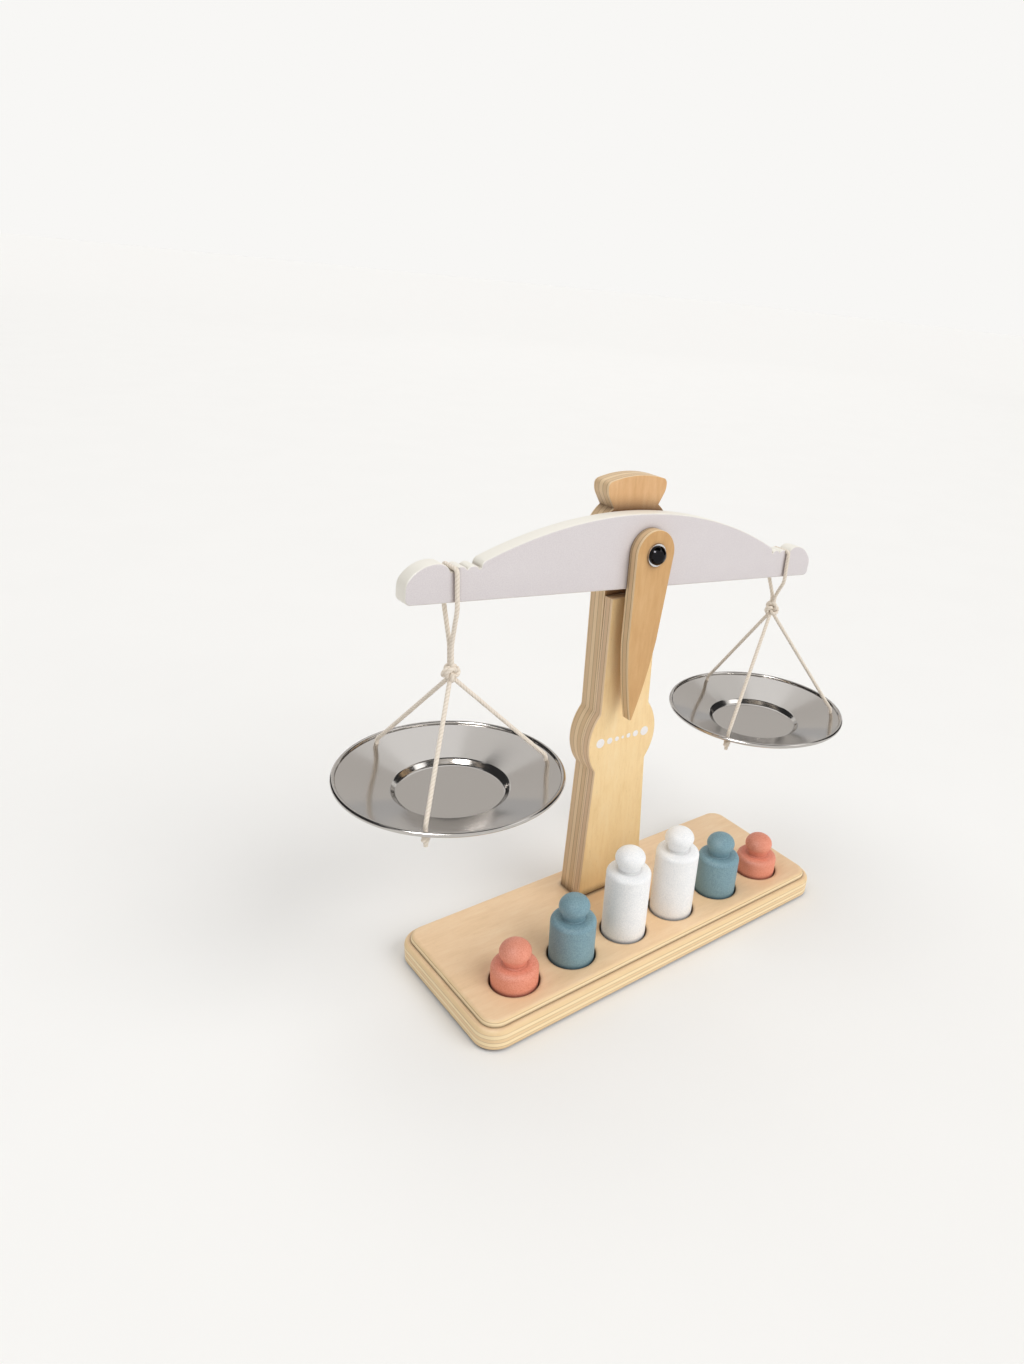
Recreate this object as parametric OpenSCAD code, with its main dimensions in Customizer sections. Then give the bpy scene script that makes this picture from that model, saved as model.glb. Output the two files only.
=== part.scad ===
// Equal-arm balance scale for children: a moulded plywood base with six turned weights, an upright of two
// boards, a notched beam that swings on a bolt, and two steel pans on cotton cords.
// Millimetres. +X runs along the beam, +Y to the back and +Z up, from the middle of the base's underside.

/* [Base] */
// Length of the base board
base_l = 253; // [240:1:300]
// Depth of the base board, front to back
base_d = 97; // [90:1:130]
// Thickness of the base board
base_h = 16.5; // [15:0.5:24]
// Radius of the board's corners in plan
base_corner_r = 13; // [10:0.5:20]
// Width of the routed step round the top
step_w = 3.6; // [2:0.1:5]
// Height of the raised top above the step
step_h = 3.4; // [2.9:0.1:5]
// Rounding of the raised top's edge
top_round_r = 2.8; // [1:0.1:2.8]
// Rounding of the edge below the step
shoulder_round_r = 3; // [1:0.1:3.5]
// Rounding of the bottom edge
foot_round_r = 1.8; // [0.6:0.1:3]

/* [Sockets and weights] */
// Distance from each end of the board to the middle of its outer socket
socket_inset = 32.75; // [27:0.25:42]
// Distance from the board's front edge to the row of sockets
row_inset = 26.3; // [22:0.1:30]
// Diameter of the turned weights
weight_d = 25.6; // [20:0.1:28]
// Gap all round a weight in its socket
socket_gap = 0.7; // [0.3:0.1:1.2]
// Depth of the sockets
socket_depth = 10; // [6:0.5:12]
// Rounding of the sockets' rims
socket_rim_r = 0.8; // [0.4:0.1:1.2]
// Height of a small weight's shoulder above the base
small_rise = 11.5; // [8:0.5:16]
// Height of a medium weight's shoulder above the base
medium_rise = 25; // [18:0.5:32]
// Height of a tall weight's shoulder above the base
tall_rise = 42.4; // [34:0.2:50]
// Rounding of a weight's shoulder
weight_shoulder_r = 3; // [1:0.1:4]
// Rounding of a weight's bottom edge
weight_foot_r = 1; // [0.4:0.1:2]
// Diameter of a weight's neck
neck_d = 12.4; // [9:0.1:14]
// Height of the bare neck
neck_h = 0.9; // [0.4:0.1:2]
// Diameter of a weight's knob
knob_d = 17.2; // [15:0.1:19]
// Height of a weight's knob
knob_h = 13.2; // [10:0.1:16]

/* [Upright] */
// Distance from the base's back edge to the upright's back
upright_inset = 15.2; // [10:0.1:20]
// Thickness of the rear board
back_board_t = 12.4; // [10:0.1:15]
// Thickness of the front board
front_board_t = 6; // [4:0.1:8]
// Width of the upright where it stands on the base
foot_w = 48; // [42:0.5:56]
// Width just below the bulge
lower_neck_w = 37.6; // [34:0.2:40]
// Width just above the bulge
upper_neck_w = 35.2; // [33:0.2:38]
// Width at the ledge under the beam
ledge_w = 32.4; // [28:0.2:35]
// Width across the bulge
bulge_w = 49; // [44:0.5:56]
// Height of the bulge's middle above the ground
bulge_z = 120.8; // [110:0.2:130]
// Length of the bulge between its two necks
bulge_l = 36; // [30:0.5:40]
// Softening of the corners where the bulge meets its necks
bulge_blend_r = 3; // [1:0.5:4]
// Radius of the boss behind the beam
boss_r = 25.3; // [22:0.1:27]
// Width of the neck between boss and crown
crown_neck_w = 30; // [26:0.5:32]
// Width across the crown
crown_w = 38.8; // [35:0.2:44]
// Height of the crown above its neck, at the middle
crown_h = 15.6; // [13:0.1:20]
// Radius of the crown's arched top
crown_arch_r = 66; // [45:1:90]
// Rounding of the crown's upper corners
crown_corner_r = 3; // [1:0.1:3.6]
// Height of the crown's upright sides below those corners
crown_side_h = 5.2; // [4.8:0.1:6]
// Rounding where those sides turn in towards the neck
crown_side_r = 8; // [4:0.5:9]

/* [Beam] */
// Height of the pivot above the ground
pivot_z = 230.5; // [222:0.5:245]
// How far the beam leans in the stored pose, right end down
lean = 4; // [0:0.5:6]
// How far the beam can swing each way from level
swing = 16; // [8:1:16]
// Length of the beam
beam_length = 270; // [250:1:300]
// Thickness of the beam
beam_t = 9; // [7:0.5:11]
// Depth of the beam below the pivot
beam_drop = 19.2; // [17:0.1:20]
// Height of the arched top above the pivot
beam_rise = 19.4; // [17:0.1:22]
// Depth below the pivot of the arched top's two ends
arch_end_drop = 0.6; // [0:0.1:1.5]
// Distance from each end of the beam to its cord notch
notch_inset = 23.5; // [21:0.5:30]
// Depth of the end lobes' tops below the pivot
lobe_drop = 1.1; // [0.5:0.1:2]
// Rounding of the lobe beside the notch
lobe_inner_r = 7; // [6:0.1:8]
// Fall of the end lobe's long crest towards the beam's end
lobe_fall = 3.8; // [3:0.1:4.2]
// Rounding of the beam's outer end
lobe_outer_r = 7.5; // [6.5:0.1:9]
// Rounding of the beam's lower corners
beam_corner_r = 3; // [1:0.1:5]
// Spacing of the small bumps beside the notch
bump_pitch = 6.2; // [6:0.1:6.6]
// Radius of the small bumps
bump_r = 3.7; // [3.5:0.1:4]
// Depth of the bumps' tops below the pivot
bump_drop = 2.8; // [2.4:0.1:3.2]
// Depth below the pivot of the notch that holds the cord
notch_drop = 5.2; // [5:0.1:6]

/* [Pointer] */
// Thickness of the pointer
pointer_t = 6.4; // [4:0.1:8]
// Width of the pointer's round head
pointer_head_w = 25.2; // [22:0.2:28]
// Width where the long taper starts
pointer_mid_w = 19.6; // [16:0.2:21]
// Distance from the pivot to that place
pointer_mid_drop = 47; // [40:1:55]
// Distance from the pivot to the pointer's tip
pointer_l = 92.5; // [85:0.5:96]
// Swell of its tapering sides beyond straight lines
pointer_swell = 1; // [0.4:0.1:1.6]
// Half-width of the blunted tip
pointer_tip_r = 0.5; // [0.4:0.1:1.5]

/* [Pivot] */
// Diameter of the pivot bolt
bolt_d = 6; // [5:0.5:7]
// Running clearance round the bolt, on the radius
bolt_gap = 0.08; // [0.02:0.01:0.1]
// Clearance beside the beam and pointer, along the bolt
side_gap = 0.1; // [0.05:0.01:0.2]
// Thickness of the spacer behind the beam
spacer_t = 2.9; // [2:0.1:4]
// Diameter of the spacer
spacer_d = 16; // [12:0.5:20]
// Thickness of the washers
washer_t = 0.8; // [0.6:0.1:1.6]
// Diameter of the rear washer
rear_washer_d = 14; // [12:0.5:18]
// Diameter of the front washer
front_washer_d = 11.8; // [10.4:0.1:13]
// Diameter of the cap nut's dome
nut_d = 10; // [9:0.1:10.8]
// Height of the cap nut's straight skirt
nut_skirt_h = 0.9; // [0.6:0.1:2]
// Height of the cap nut's dome above its skirt
nut_dome_h = 3.4; // [3:0.1:4.5]
// Diameter of the bolt's head
bolt_head_d = 11.4; // [9:0.1:13]
// Height of the bolt's head
bolt_head_h = 3.4; // [2.6:0.1:4]
// Width across the flats of the hexagon socket in the bolt's head
bolt_key_w = 4; // [3:0.1:5]
// Depth of that socket
bolt_key_h = 1.8; // [1:0.1:2]

/* [Base screws] */
// Diameter of the screws into the upright's foot
screw_d = 4; // [3:0.1:5]
// Diameter of their countersunk heads
screw_head_d = 8; // [7:0.1:9]
// Length of the screws
screw_l = 38; // [30:1:50]
// Spacing of the two screws
screw_pitch = 26; // [20:1:30]
// Depth of the heads below the base's underside
screw_sink = 0.6; // [0.3:0.1:1]

/* [Pans] */
// Diameter of the pans over the rolled rim
pan_d = 112.6; // [106:0.2:116]
// Depth of a pan from its rim's top to its floor
pan_h = 11.6; // [10:0.1:14]
// Diameter of the ring where the flange starts
ring_d = 58; // [56:0.2:64]
// Depth of that ring below the rim's top
ring_drop = 8.8; // [7:0.1:9.4]
// Width of the curved step between the ring and the flat floor
step_run = 2.8; // [2.4:0.1:5]
// Thickness of the sheet
sheet_t = 0.8; // [0.6:0.1:1.2]
// Radius of the bends between floor, step and flange
step_bend_r = 1.6; // [0.8:0.1:2]
// Radius of the rolled rim
rim_r = 1.2; // [1:0.1:1.6]
// Distance of the cord holes from a pan's middle
pan_hole_r = 50.4; // [47:0.1:51]
// Distance from the beam's notch down to the rim's top
pan_hang = 102.8; // [96:0.2:110]

/* [Cords] */
// Diameter of the cord
cord_d = 2.2; // [1.8:0.1:2.4]
// Gap between cord and wood
cord_gap = 0.3; // [0.2:0.05:0.4]
// Radius of the cord's bend over the beam's edges
loop_bend_r = 1.6; // [1.5:0.05:2]
// Length of the left loop, from the notch to the middle of its knot
left_loop_l = 50.6; // [42:0.2:56]
// Length of the right loop
right_loop_l = 36.8; // [34:0.2:50]
// Length over which the left loop's strands lie side by side
left_twin_l = 9; // [2:0.5:12]
// Length over which the right loop's strands lie side by side
right_twin_l = 3; // [1:0.5:4]
// Diameter of the gathering knots
knot_d = 10.4; // [9:0.1:11]
// Height of the gathering knots
knot_h = 9.2; // [8:0.1:10]
// Diameter of the stopper knots under the pans
end_knot_d = 5.2; // [4.6:0.1:5.6]
// Length of cord below a stopper knot
tail_l = 2; // [1:0.1:3]
// How far a pan can sway to the front and back about its knot
sway = 12; // [4:1:12]

/* [Hidden] */
$fn = 96;

// Overrun of every cut, so that no cut ends flush with a face
over = 1;
// Clearance of pieces that are pushed or screwed together
fit_gap = 0.05;
// Side that a piece belongs to
LEFT = -1;
RIGHT = 1;
// Directions of the cord holes round each pan, from +X towards +Y
left_hole_angles = [-12, 108, 228];
right_hole_angles = [-36, 84, 204];
// Sockets counted from the middle of the row, in half pitches
socket_steps = [-5, -3, -1, 1, 3, 5];
// Distances of the second bump, the first bump and the arch's end from the notch, in bump pitches
bump_place_shares = [0.5, 1.5, 2.5];
// Radius of a knot's turns in knot heights
turn_share = 0.2;
// How far the outer turns lie inside the knot's edge and from its middle, in their own radii
outer_turn_shares = [1.6, 1.5];
// Part of the cap nut's dome that its bore reaches into
nut_bore_share = 0.45;
// Length, width and depth of a screw's cross slot in head diameters
screw_slot_shares = [0.5, 0.125, 0.25];

// Places along Y, from the back of the upright to the front of the pointer
upright_back_y = base_d / 2 - upright_inset;
split_y = upright_back_y - back_board_t;
upright_front_y = split_y - front_board_t;
beam_back_y = split_y - spacer_t - side_gap;
beam_front_y = beam_back_y - beam_t;
beam_mid_y = beam_back_y - beam_t / 2;
pointer_front_y = beam_front_y - pointer_t;
washer_back_y = pointer_front_y - side_gap;
nut_back_y = washer_back_y - washer_t;
row_y = row_inset - base_d / 2;
weight_pitch = (base_l - 2 * socket_inset) / (len(socket_steps) - 1);
screw_y = (upright_back_y + split_y) / 2;

// Heights and widths that follow from the sizes above
socket_r = weight_d / 2 + socket_gap;
socket_floor_z = base_h - socket_depth;
cord_r = cord_d / 2;
groove_r = cord_r + cord_gap;
cord_drop = notch_drop - groove_r;
// The front board stops where the beam's underside clears its corners at full swing and one degree more
ledge_z = pivot_z - (beam_drop + ledge_w / 2 * sin(swing + 1)) / cos(swing + 1);
crown_neck_z = pivot_z + sqrt(boss_r * boss_r - crown_neck_w * crown_neck_w / 4);
bolt_r = bolt_d / 2;
loop_half_y = beam_t / 2 + groove_r;
notch_x = beam_length / 2 - notch_inset;
arch_end_x = notch_x - bump_place_shares[2] * bump_pitch;
arch_h = beam_rise + arch_end_drop;
arch_r = (arch_end_x * arch_end_x + arch_h * arch_h) / (2 * arch_h);
bend_ball_r = cord_r + fit_gap;
twin_y = cord_r + 2 * fit_gap;
// Gap over a knot that keeps the loop's ends clear of it as the pan sways
sway_gap = cord_gap + (twin_y + cord_r) * tan(sway);
knot_r = knot_d / 2;
// A gathering knot's turns, of which the outer two lie closer in than the middle one
knot_turn_r = knot_h * turn_share;
outer_turn = [knot_r - outer_turn_shares[0] * knot_turn_r, outer_turn_shares[1] * knot_turn_r];
knot_reach = norm(outer_turn) + knot_turn_r + fit_gap;
nut_bore_h = nut_skirt_h + nut_dome_h * nut_bore_share;

// Returns v scaled to a length of one
function unit(v) = v / norm(v);

// Returns the points of an arc of radius r that rounds the corner b between a and c
function corner_arc(a, b, c, r, steps = 6) =
    let (
        to_a = unit(a - b),
        to_c = unit(c - b),
        half = acos(to_a * to_c) / 2,
        start = b + to_a * r / tan(half),
        centre = b + unit(to_a + to_c) * r / sin(half),
        from = atan2(start.y - centre.y, start.x - centre.x),
        turn = (to_a.x * to_c.y - to_a.y * to_c.x > 0 ? -1 : 1) * (180 - 2 * half)
    )
    [for (i = [0:steps]) centre + r * [cos(from + turn * i / steps), sin(from + turn * i / steps)]];

// Returns a closed outline through the corners [x, z, r], each rounded by its own r
function round_outline(corners) =
    let (n = len(corners))
    [for (i = [0:n - 1])
        let (
            a = corners[(i + n - 1) % n],
            b = corners[i],
            c = corners[(i + 1) % n]
        )
        each (b[2] == 0 ? [[b.x, b.y]] : corner_arc([a.x, a.y], [b.x, b.y], [c.x, c.y], b[2]))];

// Returns the points of an arc of radius r about a centre, between two angles
function arc(centre, r, from, to, steps = 10) =
    [for (i = [0:steps]) centre + r * [cos(from + (to - from) * i / steps), sin(from + (to - from) * i / steps)]];

// Returns the points of the arc through a, b and c
function arc_through(a, b, c, steps = 14) =
    let (
        doubled = 2 * (a.x * (b.y - c.y) + b.x * (c.y - a.y) + c.x * (a.y - b.y)),
        centre = [
            (a * a) * (b.y - c.y) + (b * b) * (c.y - a.y) + (c * c) * (a.y - b.y),
            (a * a) * (c.x - b.x) + (b * b) * (a.x - c.x) + (c * c) * (b.x - a.x)
        ] / doubled,
        from = atan2(a.y - centre.y, a.x - centre.x),
        to = atan2(c.y - centre.y, c.x - centre.x)
    )
    arc(centre, norm(a - centre), from, to, steps);

// Returns the second face of a sheet of thickness t, to the right of the points along its first face
function second_face(points, t) =
    [for (i = [0:len(points) - 1])
        let (
            before = i > 0 ? unit(points[i] - points[i - 1]) : unit(points[1] - points[0]),
            after = i < len(points) - 1 ? unit(points[i + 1] - points[i]) : before,
            both = before + after
        )
        points[i] + [both.y, -both.x] * t / (1 + before * after)];

// Returns a half outline followed by its mirror image, so that the whole is closed
function both_sides(half) =
    concat(half, [for (i = [len(half) - 1:-1:0]) [-half[i].x, half[i].y, half[i][2]]]);

// A board standing in the XZ plane, with its back at back_y and thickness t to the front
module upright_board(back_y, t) {
    translate([0, back_y, 0]) rotate([90, 0, 0]) linear_extrude(t) children();
}

// A piece turned round the Y axis, from back_y towards the front; its profile's x is the radius
module turned_y(back_y, z) {
    translate([0, back_y, z]) rotate([90, 0, 0]) rotate_extrude() children();
}

// A bore along Y at the height z, through everything
module bore_y(r, z) {
    translate([0, 0, z]) rotate([90, 0, 0]) cylinder(r = r, h = base_d + over, center = true);
}

// Section of the base's routed edge, out to the distance reach from the start of the rounding
module edge_section(reach) {
    shoulder_z = base_h - step_h;
    top_reach = reach - step_w;
    difference() {
        union() {
            square([reach - shoulder_round_r, shoulder_z]);
            translate([0, foot_round_r]) square([reach, shoulder_z - shoulder_round_r - foot_round_r]);
            translate([reach - shoulder_round_r, shoulder_z - shoulder_round_r]) circle(shoulder_round_r);
            square([top_reach, base_h - top_round_r]);
            square([top_reach - top_round_r, base_h]);
            translate([top_reach - top_round_r, base_h - top_round_r]) circle(top_round_r);
        }
        translate([reach - foot_round_r, -over]) difference() {
            square([foot_round_r + over, foot_round_r + over]);
            translate([0, foot_round_r + over]) circle(foot_round_r);
        }
    }
}

// The base's solid: a flat core, four straight moulded edges and four turned corners
module moulded_slab() {
    core_l = base_l - 2 * base_corner_r;
    core_d = base_d - 2 * base_corner_r;
    translate([-core_l / 2, -core_d / 2, 0]) cube([core_l, core_d, base_h]);
    for (side = [0, 180]) rotate([0, 0, side]) {
        translate([core_l / 2, 0, 0]) rotate([90, 0, 0])
            linear_extrude(core_d, center = true) edge_section(base_corner_r);
        translate([0, core_d / 2, 0]) rotate([90, 0, 90])
            linear_extrude(core_l, center = true) edge_section(base_corner_r);
    }
    for (x = [-1, 1], y = [-1, 1])
        translate([x * core_l / 2, y * core_d / 2, 0]) rotate_extrude() edge_section(base_corner_r);
}

// The two wood screws, or the holes for them when gap is more than zero
module screw_shapes(gap) {
    cone_h = (screw_head_d - screw_d) / 2;
    for (side = [-1, 1]) translate([side * screw_pitch / 2, screw_y, screw_sink]) {
        cylinder(d1 = screw_head_d + 2 * gap, d2 = screw_d + 2 * gap, h = cone_h);
        cylinder(d = screw_d + 2 * gap, h = screw_l - screw_d);
        translate([0, 0, screw_l - screw_d]) cylinder(d1 = screw_d + 2 * gap, d2 = 2 * gap + fit_gap, h = screw_d);
    }
}

// The cutter of one socket, which also rounds its rim over
module socket_cutter() {
    cylinder(r = socket_r, h = socket_depth + over);
    translate([0, 0, socket_depth - socket_rim_r]) rotate_extrude() difference() {
        square([socket_r + socket_rim_r, socket_rim_r + over]);
        translate([socket_r + socket_rim_r, 0]) circle(socket_rim_r);
    }
}

module base_board() {
    color("burlywood") difference() {
        moulded_slab();
        for (step = socket_steps)
            translate([step * weight_pitch / 2, row_y, socket_floor_z]) socket_cutter();
        screw_shapes(fit_gap);
        for (side = [-1, 1])
            translate([side * screw_pitch / 2, screw_y, -over])
                cylinder(d = screw_head_d + 2 * fit_gap, h = screw_sink + over);
    }
}

module base_screws() {
    color("silver") difference() {
        screw_shapes(0);
        for (side = [-1, 1], turn = [0, 90])
            translate([side * screw_pitch / 2, screw_y, screw_sink]) rotate([0, 0, turn])
                cube(screw_head_d * screw_slot_shares, center = true);
    }
}

// Outline of the tapering column with its round bulge, from the foot up to the height top_z and width top_w
module column_outline(top_z, top_w) {
    lower_neck = [lower_neck_w / 2, bulge_z - bulge_l / 2];
    upper_neck = [upper_neck_w / 2, bulge_z + bulge_l / 2];
    bulge = arc_through(lower_neck, [bulge_w / 2, bulge_z], upper_neck);
    last = len(bulge) - 1;
    polygon(round_outline(both_sides([
        [foot_w / 2, base_h, 0],
        for (i = [0:last]) [bulge[i].x, bulge[i].y, i == 0 || i == last ? bulge_blend_r : 0],
        [top_w / 2, top_z, 0]
    ])));
}

module upright_front() {
    color("burlywood") upright_board(split_y, front_board_t) column_outline(ledge_z, ledge_w);
}

module upright_back() {
    arch_middle = [0, crown_neck_z + crown_h - crown_arch_r];
    corner_angle = acos(crown_w / 2 / crown_arch_r);
    corner_z = arch_middle.y + crown_arch_r * sin(corner_angle);
    arch_start = corner_angle + asin(crown_corner_r / crown_arch_r);
    color("burlywood") difference() {
        upright_board(upright_back_y, back_board_t) {
            column_outline(pivot_z, ledge_w);
            difference() {
                translate([0, pivot_z]) circle(boss_r);
                translate([-boss_r, crown_neck_z]) square([2 * boss_r, boss_r]);
            }
            polygon(round_outline(both_sides([
                [crown_neck_w / 2, crown_neck_z - over, 0],
                [crown_neck_w / 2, crown_neck_z, 0],
                [crown_w / 2, corner_z - crown_side_h, crown_side_r],
                [crown_w / 2, corner_z, crown_corner_r],
                for (point = arc(arch_middle, crown_arch_r, arch_start, 90)) [point.x, point.y, 0]
            ])));
        }
        bore_y(bolt_r + bolt_gap, pivot_z);
        screw_shapes(fit_gap);
    }
}

// Returns the right half of the beam's outline, from the top of the arch round to the underside
function beam_half() =
    let (
        arch_angle = 90 - asin(arch_end_x / arch_r),
        arch_end = [arch_end_x, -arch_end_drop] - bump_r * [cos(arch_angle), sin(arch_angle)],
        first_bump = [notch_x - bump_place_shares[1] * bump_pitch, -bump_drop - bump_r],
        second_bump = first_bump + [bump_pitch, 0],
        side_angle = asin(bump_pitch / 2 / bump_r),
        groove = [notch_x, -cord_drop],
        way = groove - second_bump,
        groove_meet = atan2(way.y, way.x)
            + acos((way * way + bump_r * bump_r - groove_r * groove_r) / (2 * norm(way) * bump_r)),
        groove_start = second_bump + bump_r * [cos(groove_meet), sin(groove_meet)] - groove,
        inner = [notch_x + groove_r + lobe_inner_r, -lobe_drop - lobe_inner_r],
        inner_angle = 180 - asin((-notch_drop - inner.y) / lobe_inner_r),
        outer = [beam_length / 2 - lobe_outer_r, -lobe_drop - lobe_fall - lobe_outer_r],
        crest_run = outer.x - inner.x,
        crest_r = lobe_outer_r + (crest_run * crest_run + lobe_fall * lobe_fall) / (2 * lobe_fall),
        crest_angle = 90 - asin(crest_run / (crest_r - lobe_outer_r))
    )
    concat(
        arc([0, beam_rise - arch_r], arch_r, 90, arch_angle, 24),
        arc(arch_end, bump_r, arch_angle, 0, 5),
        arc(first_bump, bump_r, 90 + side_angle, 90 - side_angle, 6),
        arc(second_bump, bump_r, 90 + side_angle, groove_meet, 5),
        arc(groove, groove_r, atan2(groove_start.y, groove_start.x), 270, 6),
        arc(inner, lobe_inner_r, inner_angle, 90, 8),
        arc([inner.x, -lobe_drop - crest_r], crest_r, 90, crest_angle),
        arc(outer, lobe_outer_r, crest_angle, 0, 8),
        arc([beam_length / 2, -beam_drop] + beam_corner_r * [-1, 1], beam_corner_r, 0, -90, 6)
    );

// The beam's whole outline about the pivot
module beam_outline() {
    right = beam_half();
    polygon(concat(right, [for (i = [len(right) - 1:-1:1]) [-right[i].x, right[i].y]]));
}

// Places its children, made about the pivot, at the pivot and at the beam's lean
module on_pivot() {
    translate([0, 0, pivot_z]) rotate([0, lean, 0]) children();
}

module beam() {
    color("ghostwhite") on_pivot() difference() {
        upright_board(beam_back_y, beam_t) beam_outline();
        bore_y(bolt_r + bolt_gap, 0);
    }
}

module pointer() {
    head_r = pointer_head_w / 2;
    mid = [pointer_mid_w / 2, -pointer_mid_drop];
    tip = [pointer_tip_r, -pointer_l];
    taper = arc_through(mid, (mid + tip) / 2 + [pointer_swell, 0], tip);
    color("wheat") on_pivot() difference() {
        upright_board(beam_front_y, pointer_t) {
            circle(head_r);
            polygon(round_outline(both_sides([
                [head_r, 0, 0],
                [mid.x, mid.y, head_r],
                for (i = [1:len(taper) - 1]) [taper[i].x, taper[i].y, 0]
            ])));
        }
        bore_y(bolt_r + bolt_gap, 0);
    }
}

module pivot_bolt() {
    dome_r = (bolt_head_d * bolt_head_d / 4 + bolt_head_h * bolt_head_h) / (2 * bolt_head_h);
    head_y = upright_back_y + washer_t;
    shank_l = head_y - nut_back_y + nut_bore_h - side_gap;
    color("silver") difference() {
        union() {
            turned_y(head_y, pivot_z) square([bolt_r, shank_l]);
            translate([0, head_y, pivot_z]) rotate([-90, 0, 0]) rotate_extrude() intersection() {
                square([bolt_head_d / 2, bolt_head_h]);
                translate([0, bolt_head_h - dome_r]) circle(dome_r);
            }
        }
        translate([0, head_y + bolt_head_h - bolt_key_h, pivot_z]) rotate([-90, 0, 0])
            cylinder(d = bolt_key_w / cos(30), h = bolt_key_h + over, $fn = 6);
    }
}

// A flat ring on the bolt, from back_y towards the front
module ring_y(back_y, d, hole_r, t) {
    turned_y(back_y, pivot_z) translate([hole_r, 0]) square([d / 2 - hole_r, t]);
}

module rear_washer() {
    color("silver") ring_y(upright_back_y + washer_t, rear_washer_d, bolt_r + bolt_gap, washer_t);
}

module pivot_spacer() {
    color("gainsboro") ring_y(split_y, spacer_d, bolt_r + bolt_gap, spacer_t);
}

module front_washer() {
    color("silver") ring_y(washer_back_y, front_washer_d, bolt_r + bolt_gap, washer_t);
}

module cap_nut() {
    dome_r = (nut_d * nut_d / 4 + nut_dome_h * nut_dome_h) / (2 * nut_dome_h);
    color("silver") turned_y(nut_back_y, pivot_z) difference() {
        union() {
            square([nut_d / 2, nut_skirt_h]);
            intersection() {
                square([nut_d / 2, nut_skirt_h + nut_dome_h]);
                translate([0, nut_skirt_h + nut_dome_h - dome_r]) circle(dome_r);
            }
        }
        translate([-over, -over]) square([bolt_r + fit_gap + over, nut_bore_h + over]);
    }
}

// Height of the sheet's upper face at the radius r of the sloping flange, from the rim's top
function flange_z(r) = -ring_drop + (r - ring_d / 2) * (ring_drop - rim_r) / (pan_d / 2 - rim_r - ring_d / 2);

// Angle of the flange to the horizontal
flange_tilt = atan((ring_drop - rim_r) / (pan_d / 2 - rim_r - ring_d / 2));

// Point where a side's cord crosses the beam, which is also the top of its hanger
function notch_point(side) = [
    side * notch_x * cos(lean) - cord_drop * sin(lean),
    beam_mid_y,
    pivot_z - side * notch_x * sin(lean) - cord_drop * cos(lean)
];

// Middle of a side's gathering knot, and of its pan at the rim's top
function loop_length(side) = side == LEFT ? left_loop_l : right_loop_l;
function knot_point(side) = notch_point(side) - [0, 0, loop_length(side)];
function pan_point(side) = notch_point(side) - [0, 0, pan_hang];

// Depth of a stopper knot's middle below the flange's upper face
end_knot_drop = (sheet_t + end_knot_d / 2) / cos(flange_tilt) + fit_gap;

// The pan's holes, as points on the flange's upper face from the pan's own middle
function hole_point(angle) = [pan_hole_r * cos(angle), pan_hole_r * sin(angle), flange_z(pan_hole_r)];

module pan(side, angles) {
    ring = [ring_d / 2, -ring_drop];
    floor_edge = [ring_d / 2 - step_run, -pan_h];
    rim = [pan_d / 2 - rim_r, -rim_r];
    middle = [0, -pan_h];
    upper = concat([middle], corner_arc(middle, floor_edge, ring, step_bend_r),
        corner_arc(floor_edge, ring, rim, step_bend_r), [rim]);
    lower = second_face(upper, sheet_t);
    color("lightgray") translate(pan_point(side)) difference() {
        union() {
            rotate_extrude() polygon(concat(upper, [for (i = [len(lower) - 1:-1:0]) lower[i]]));
            rotate_extrude() translate(rim) circle(rim_r);
        }
        for (angle = angles)
            translate(hole_point(angle) - [0, 0, sheet_t + cord_d])
                cylinder(r = groove_r, h = sheet_t + 2 * cord_d);
    }
}

// A straight strand of cord from a to b
module strand(a, b) {
    way = b - a;
    translate(a) rotate([0, acos(way.z / norm(way)), atan2(way.y, way.x)]) cylinder(r = cord_r, h = norm(way));
}

// A ball at a bend between two strands, a little fuller than the cord
module bend_ball(at) {
    translate(at) sphere(bend_ball_r);
}

// The loop in the plane X = 0: over the beam, down both faces, then together and down to the knot
module cord_loop(side, twin_l) {
    flat_half = loop_half_y - loop_bend_r;
    clear_drop = (beam_drop - cord_drop) / cos(swing) + cord_d;
    knot_top = loop_length(side) - knot_h / 2 - sway_gap;
    color("linen") translate(notch_point(side)) {
        rotate([90, 0, 0]) cylinder(r = cord_r, h = 2 * flat_half, center = true);
        for (face = [-1, 1]) {
            kink = [0, face * loop_half_y, -clear_drop];
            meet = [0, face * twin_y, -knot_top + twin_l];
            translate([0, face * flat_half, -loop_bend_r]) rotate([90, 0, face * 90])
                rotate_extrude(angle = 90) translate([loop_bend_r, 0]) circle(cord_r);
            strand([0, face * loop_half_y, -loop_bend_r], kink);
            bend_ball(kink);
            strand(kink, meet);
            bend_ball(meet);
            strand(meet, [0, face * twin_y, -knot_top]);
        }
    }
}

// A gathering knot about its own middle: one wide turn of cord between two narrower ones
module knot(side) {
    color("linen") translate(knot_point(side)) rotate_extrude() {
        translate([0, -outer_turn.y - knot_turn_r / 2]) square([outer_turn.x, 2 * outer_turn.y + knot_turn_r]);
        translate([knot_r - knot_turn_r, 0]) circle(knot_turn_r);
        for (level = [-1, 1]) translate([outer_turn.x, level * outer_turn.y]) circle(knot_turn_r);
    }
}

// One of the three cords of a pan: from under its knot to the hole, and down through the stopper knot
module pan_cord(side, angle) {
    hole = pan_point(side) - knot_point(side) + hole_point(angle);
    bend = hole + [0, 0, cord_d];
    stop = hole - [0, 0, end_knot_drop + end_knot_d / 2 + tail_l];
    color("linen") translate(knot_point(side)) {
        strand(unit(bend) * knot_reach, bend);
        bend_ball(bend);
        strand(bend, stop);
    }
}

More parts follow.
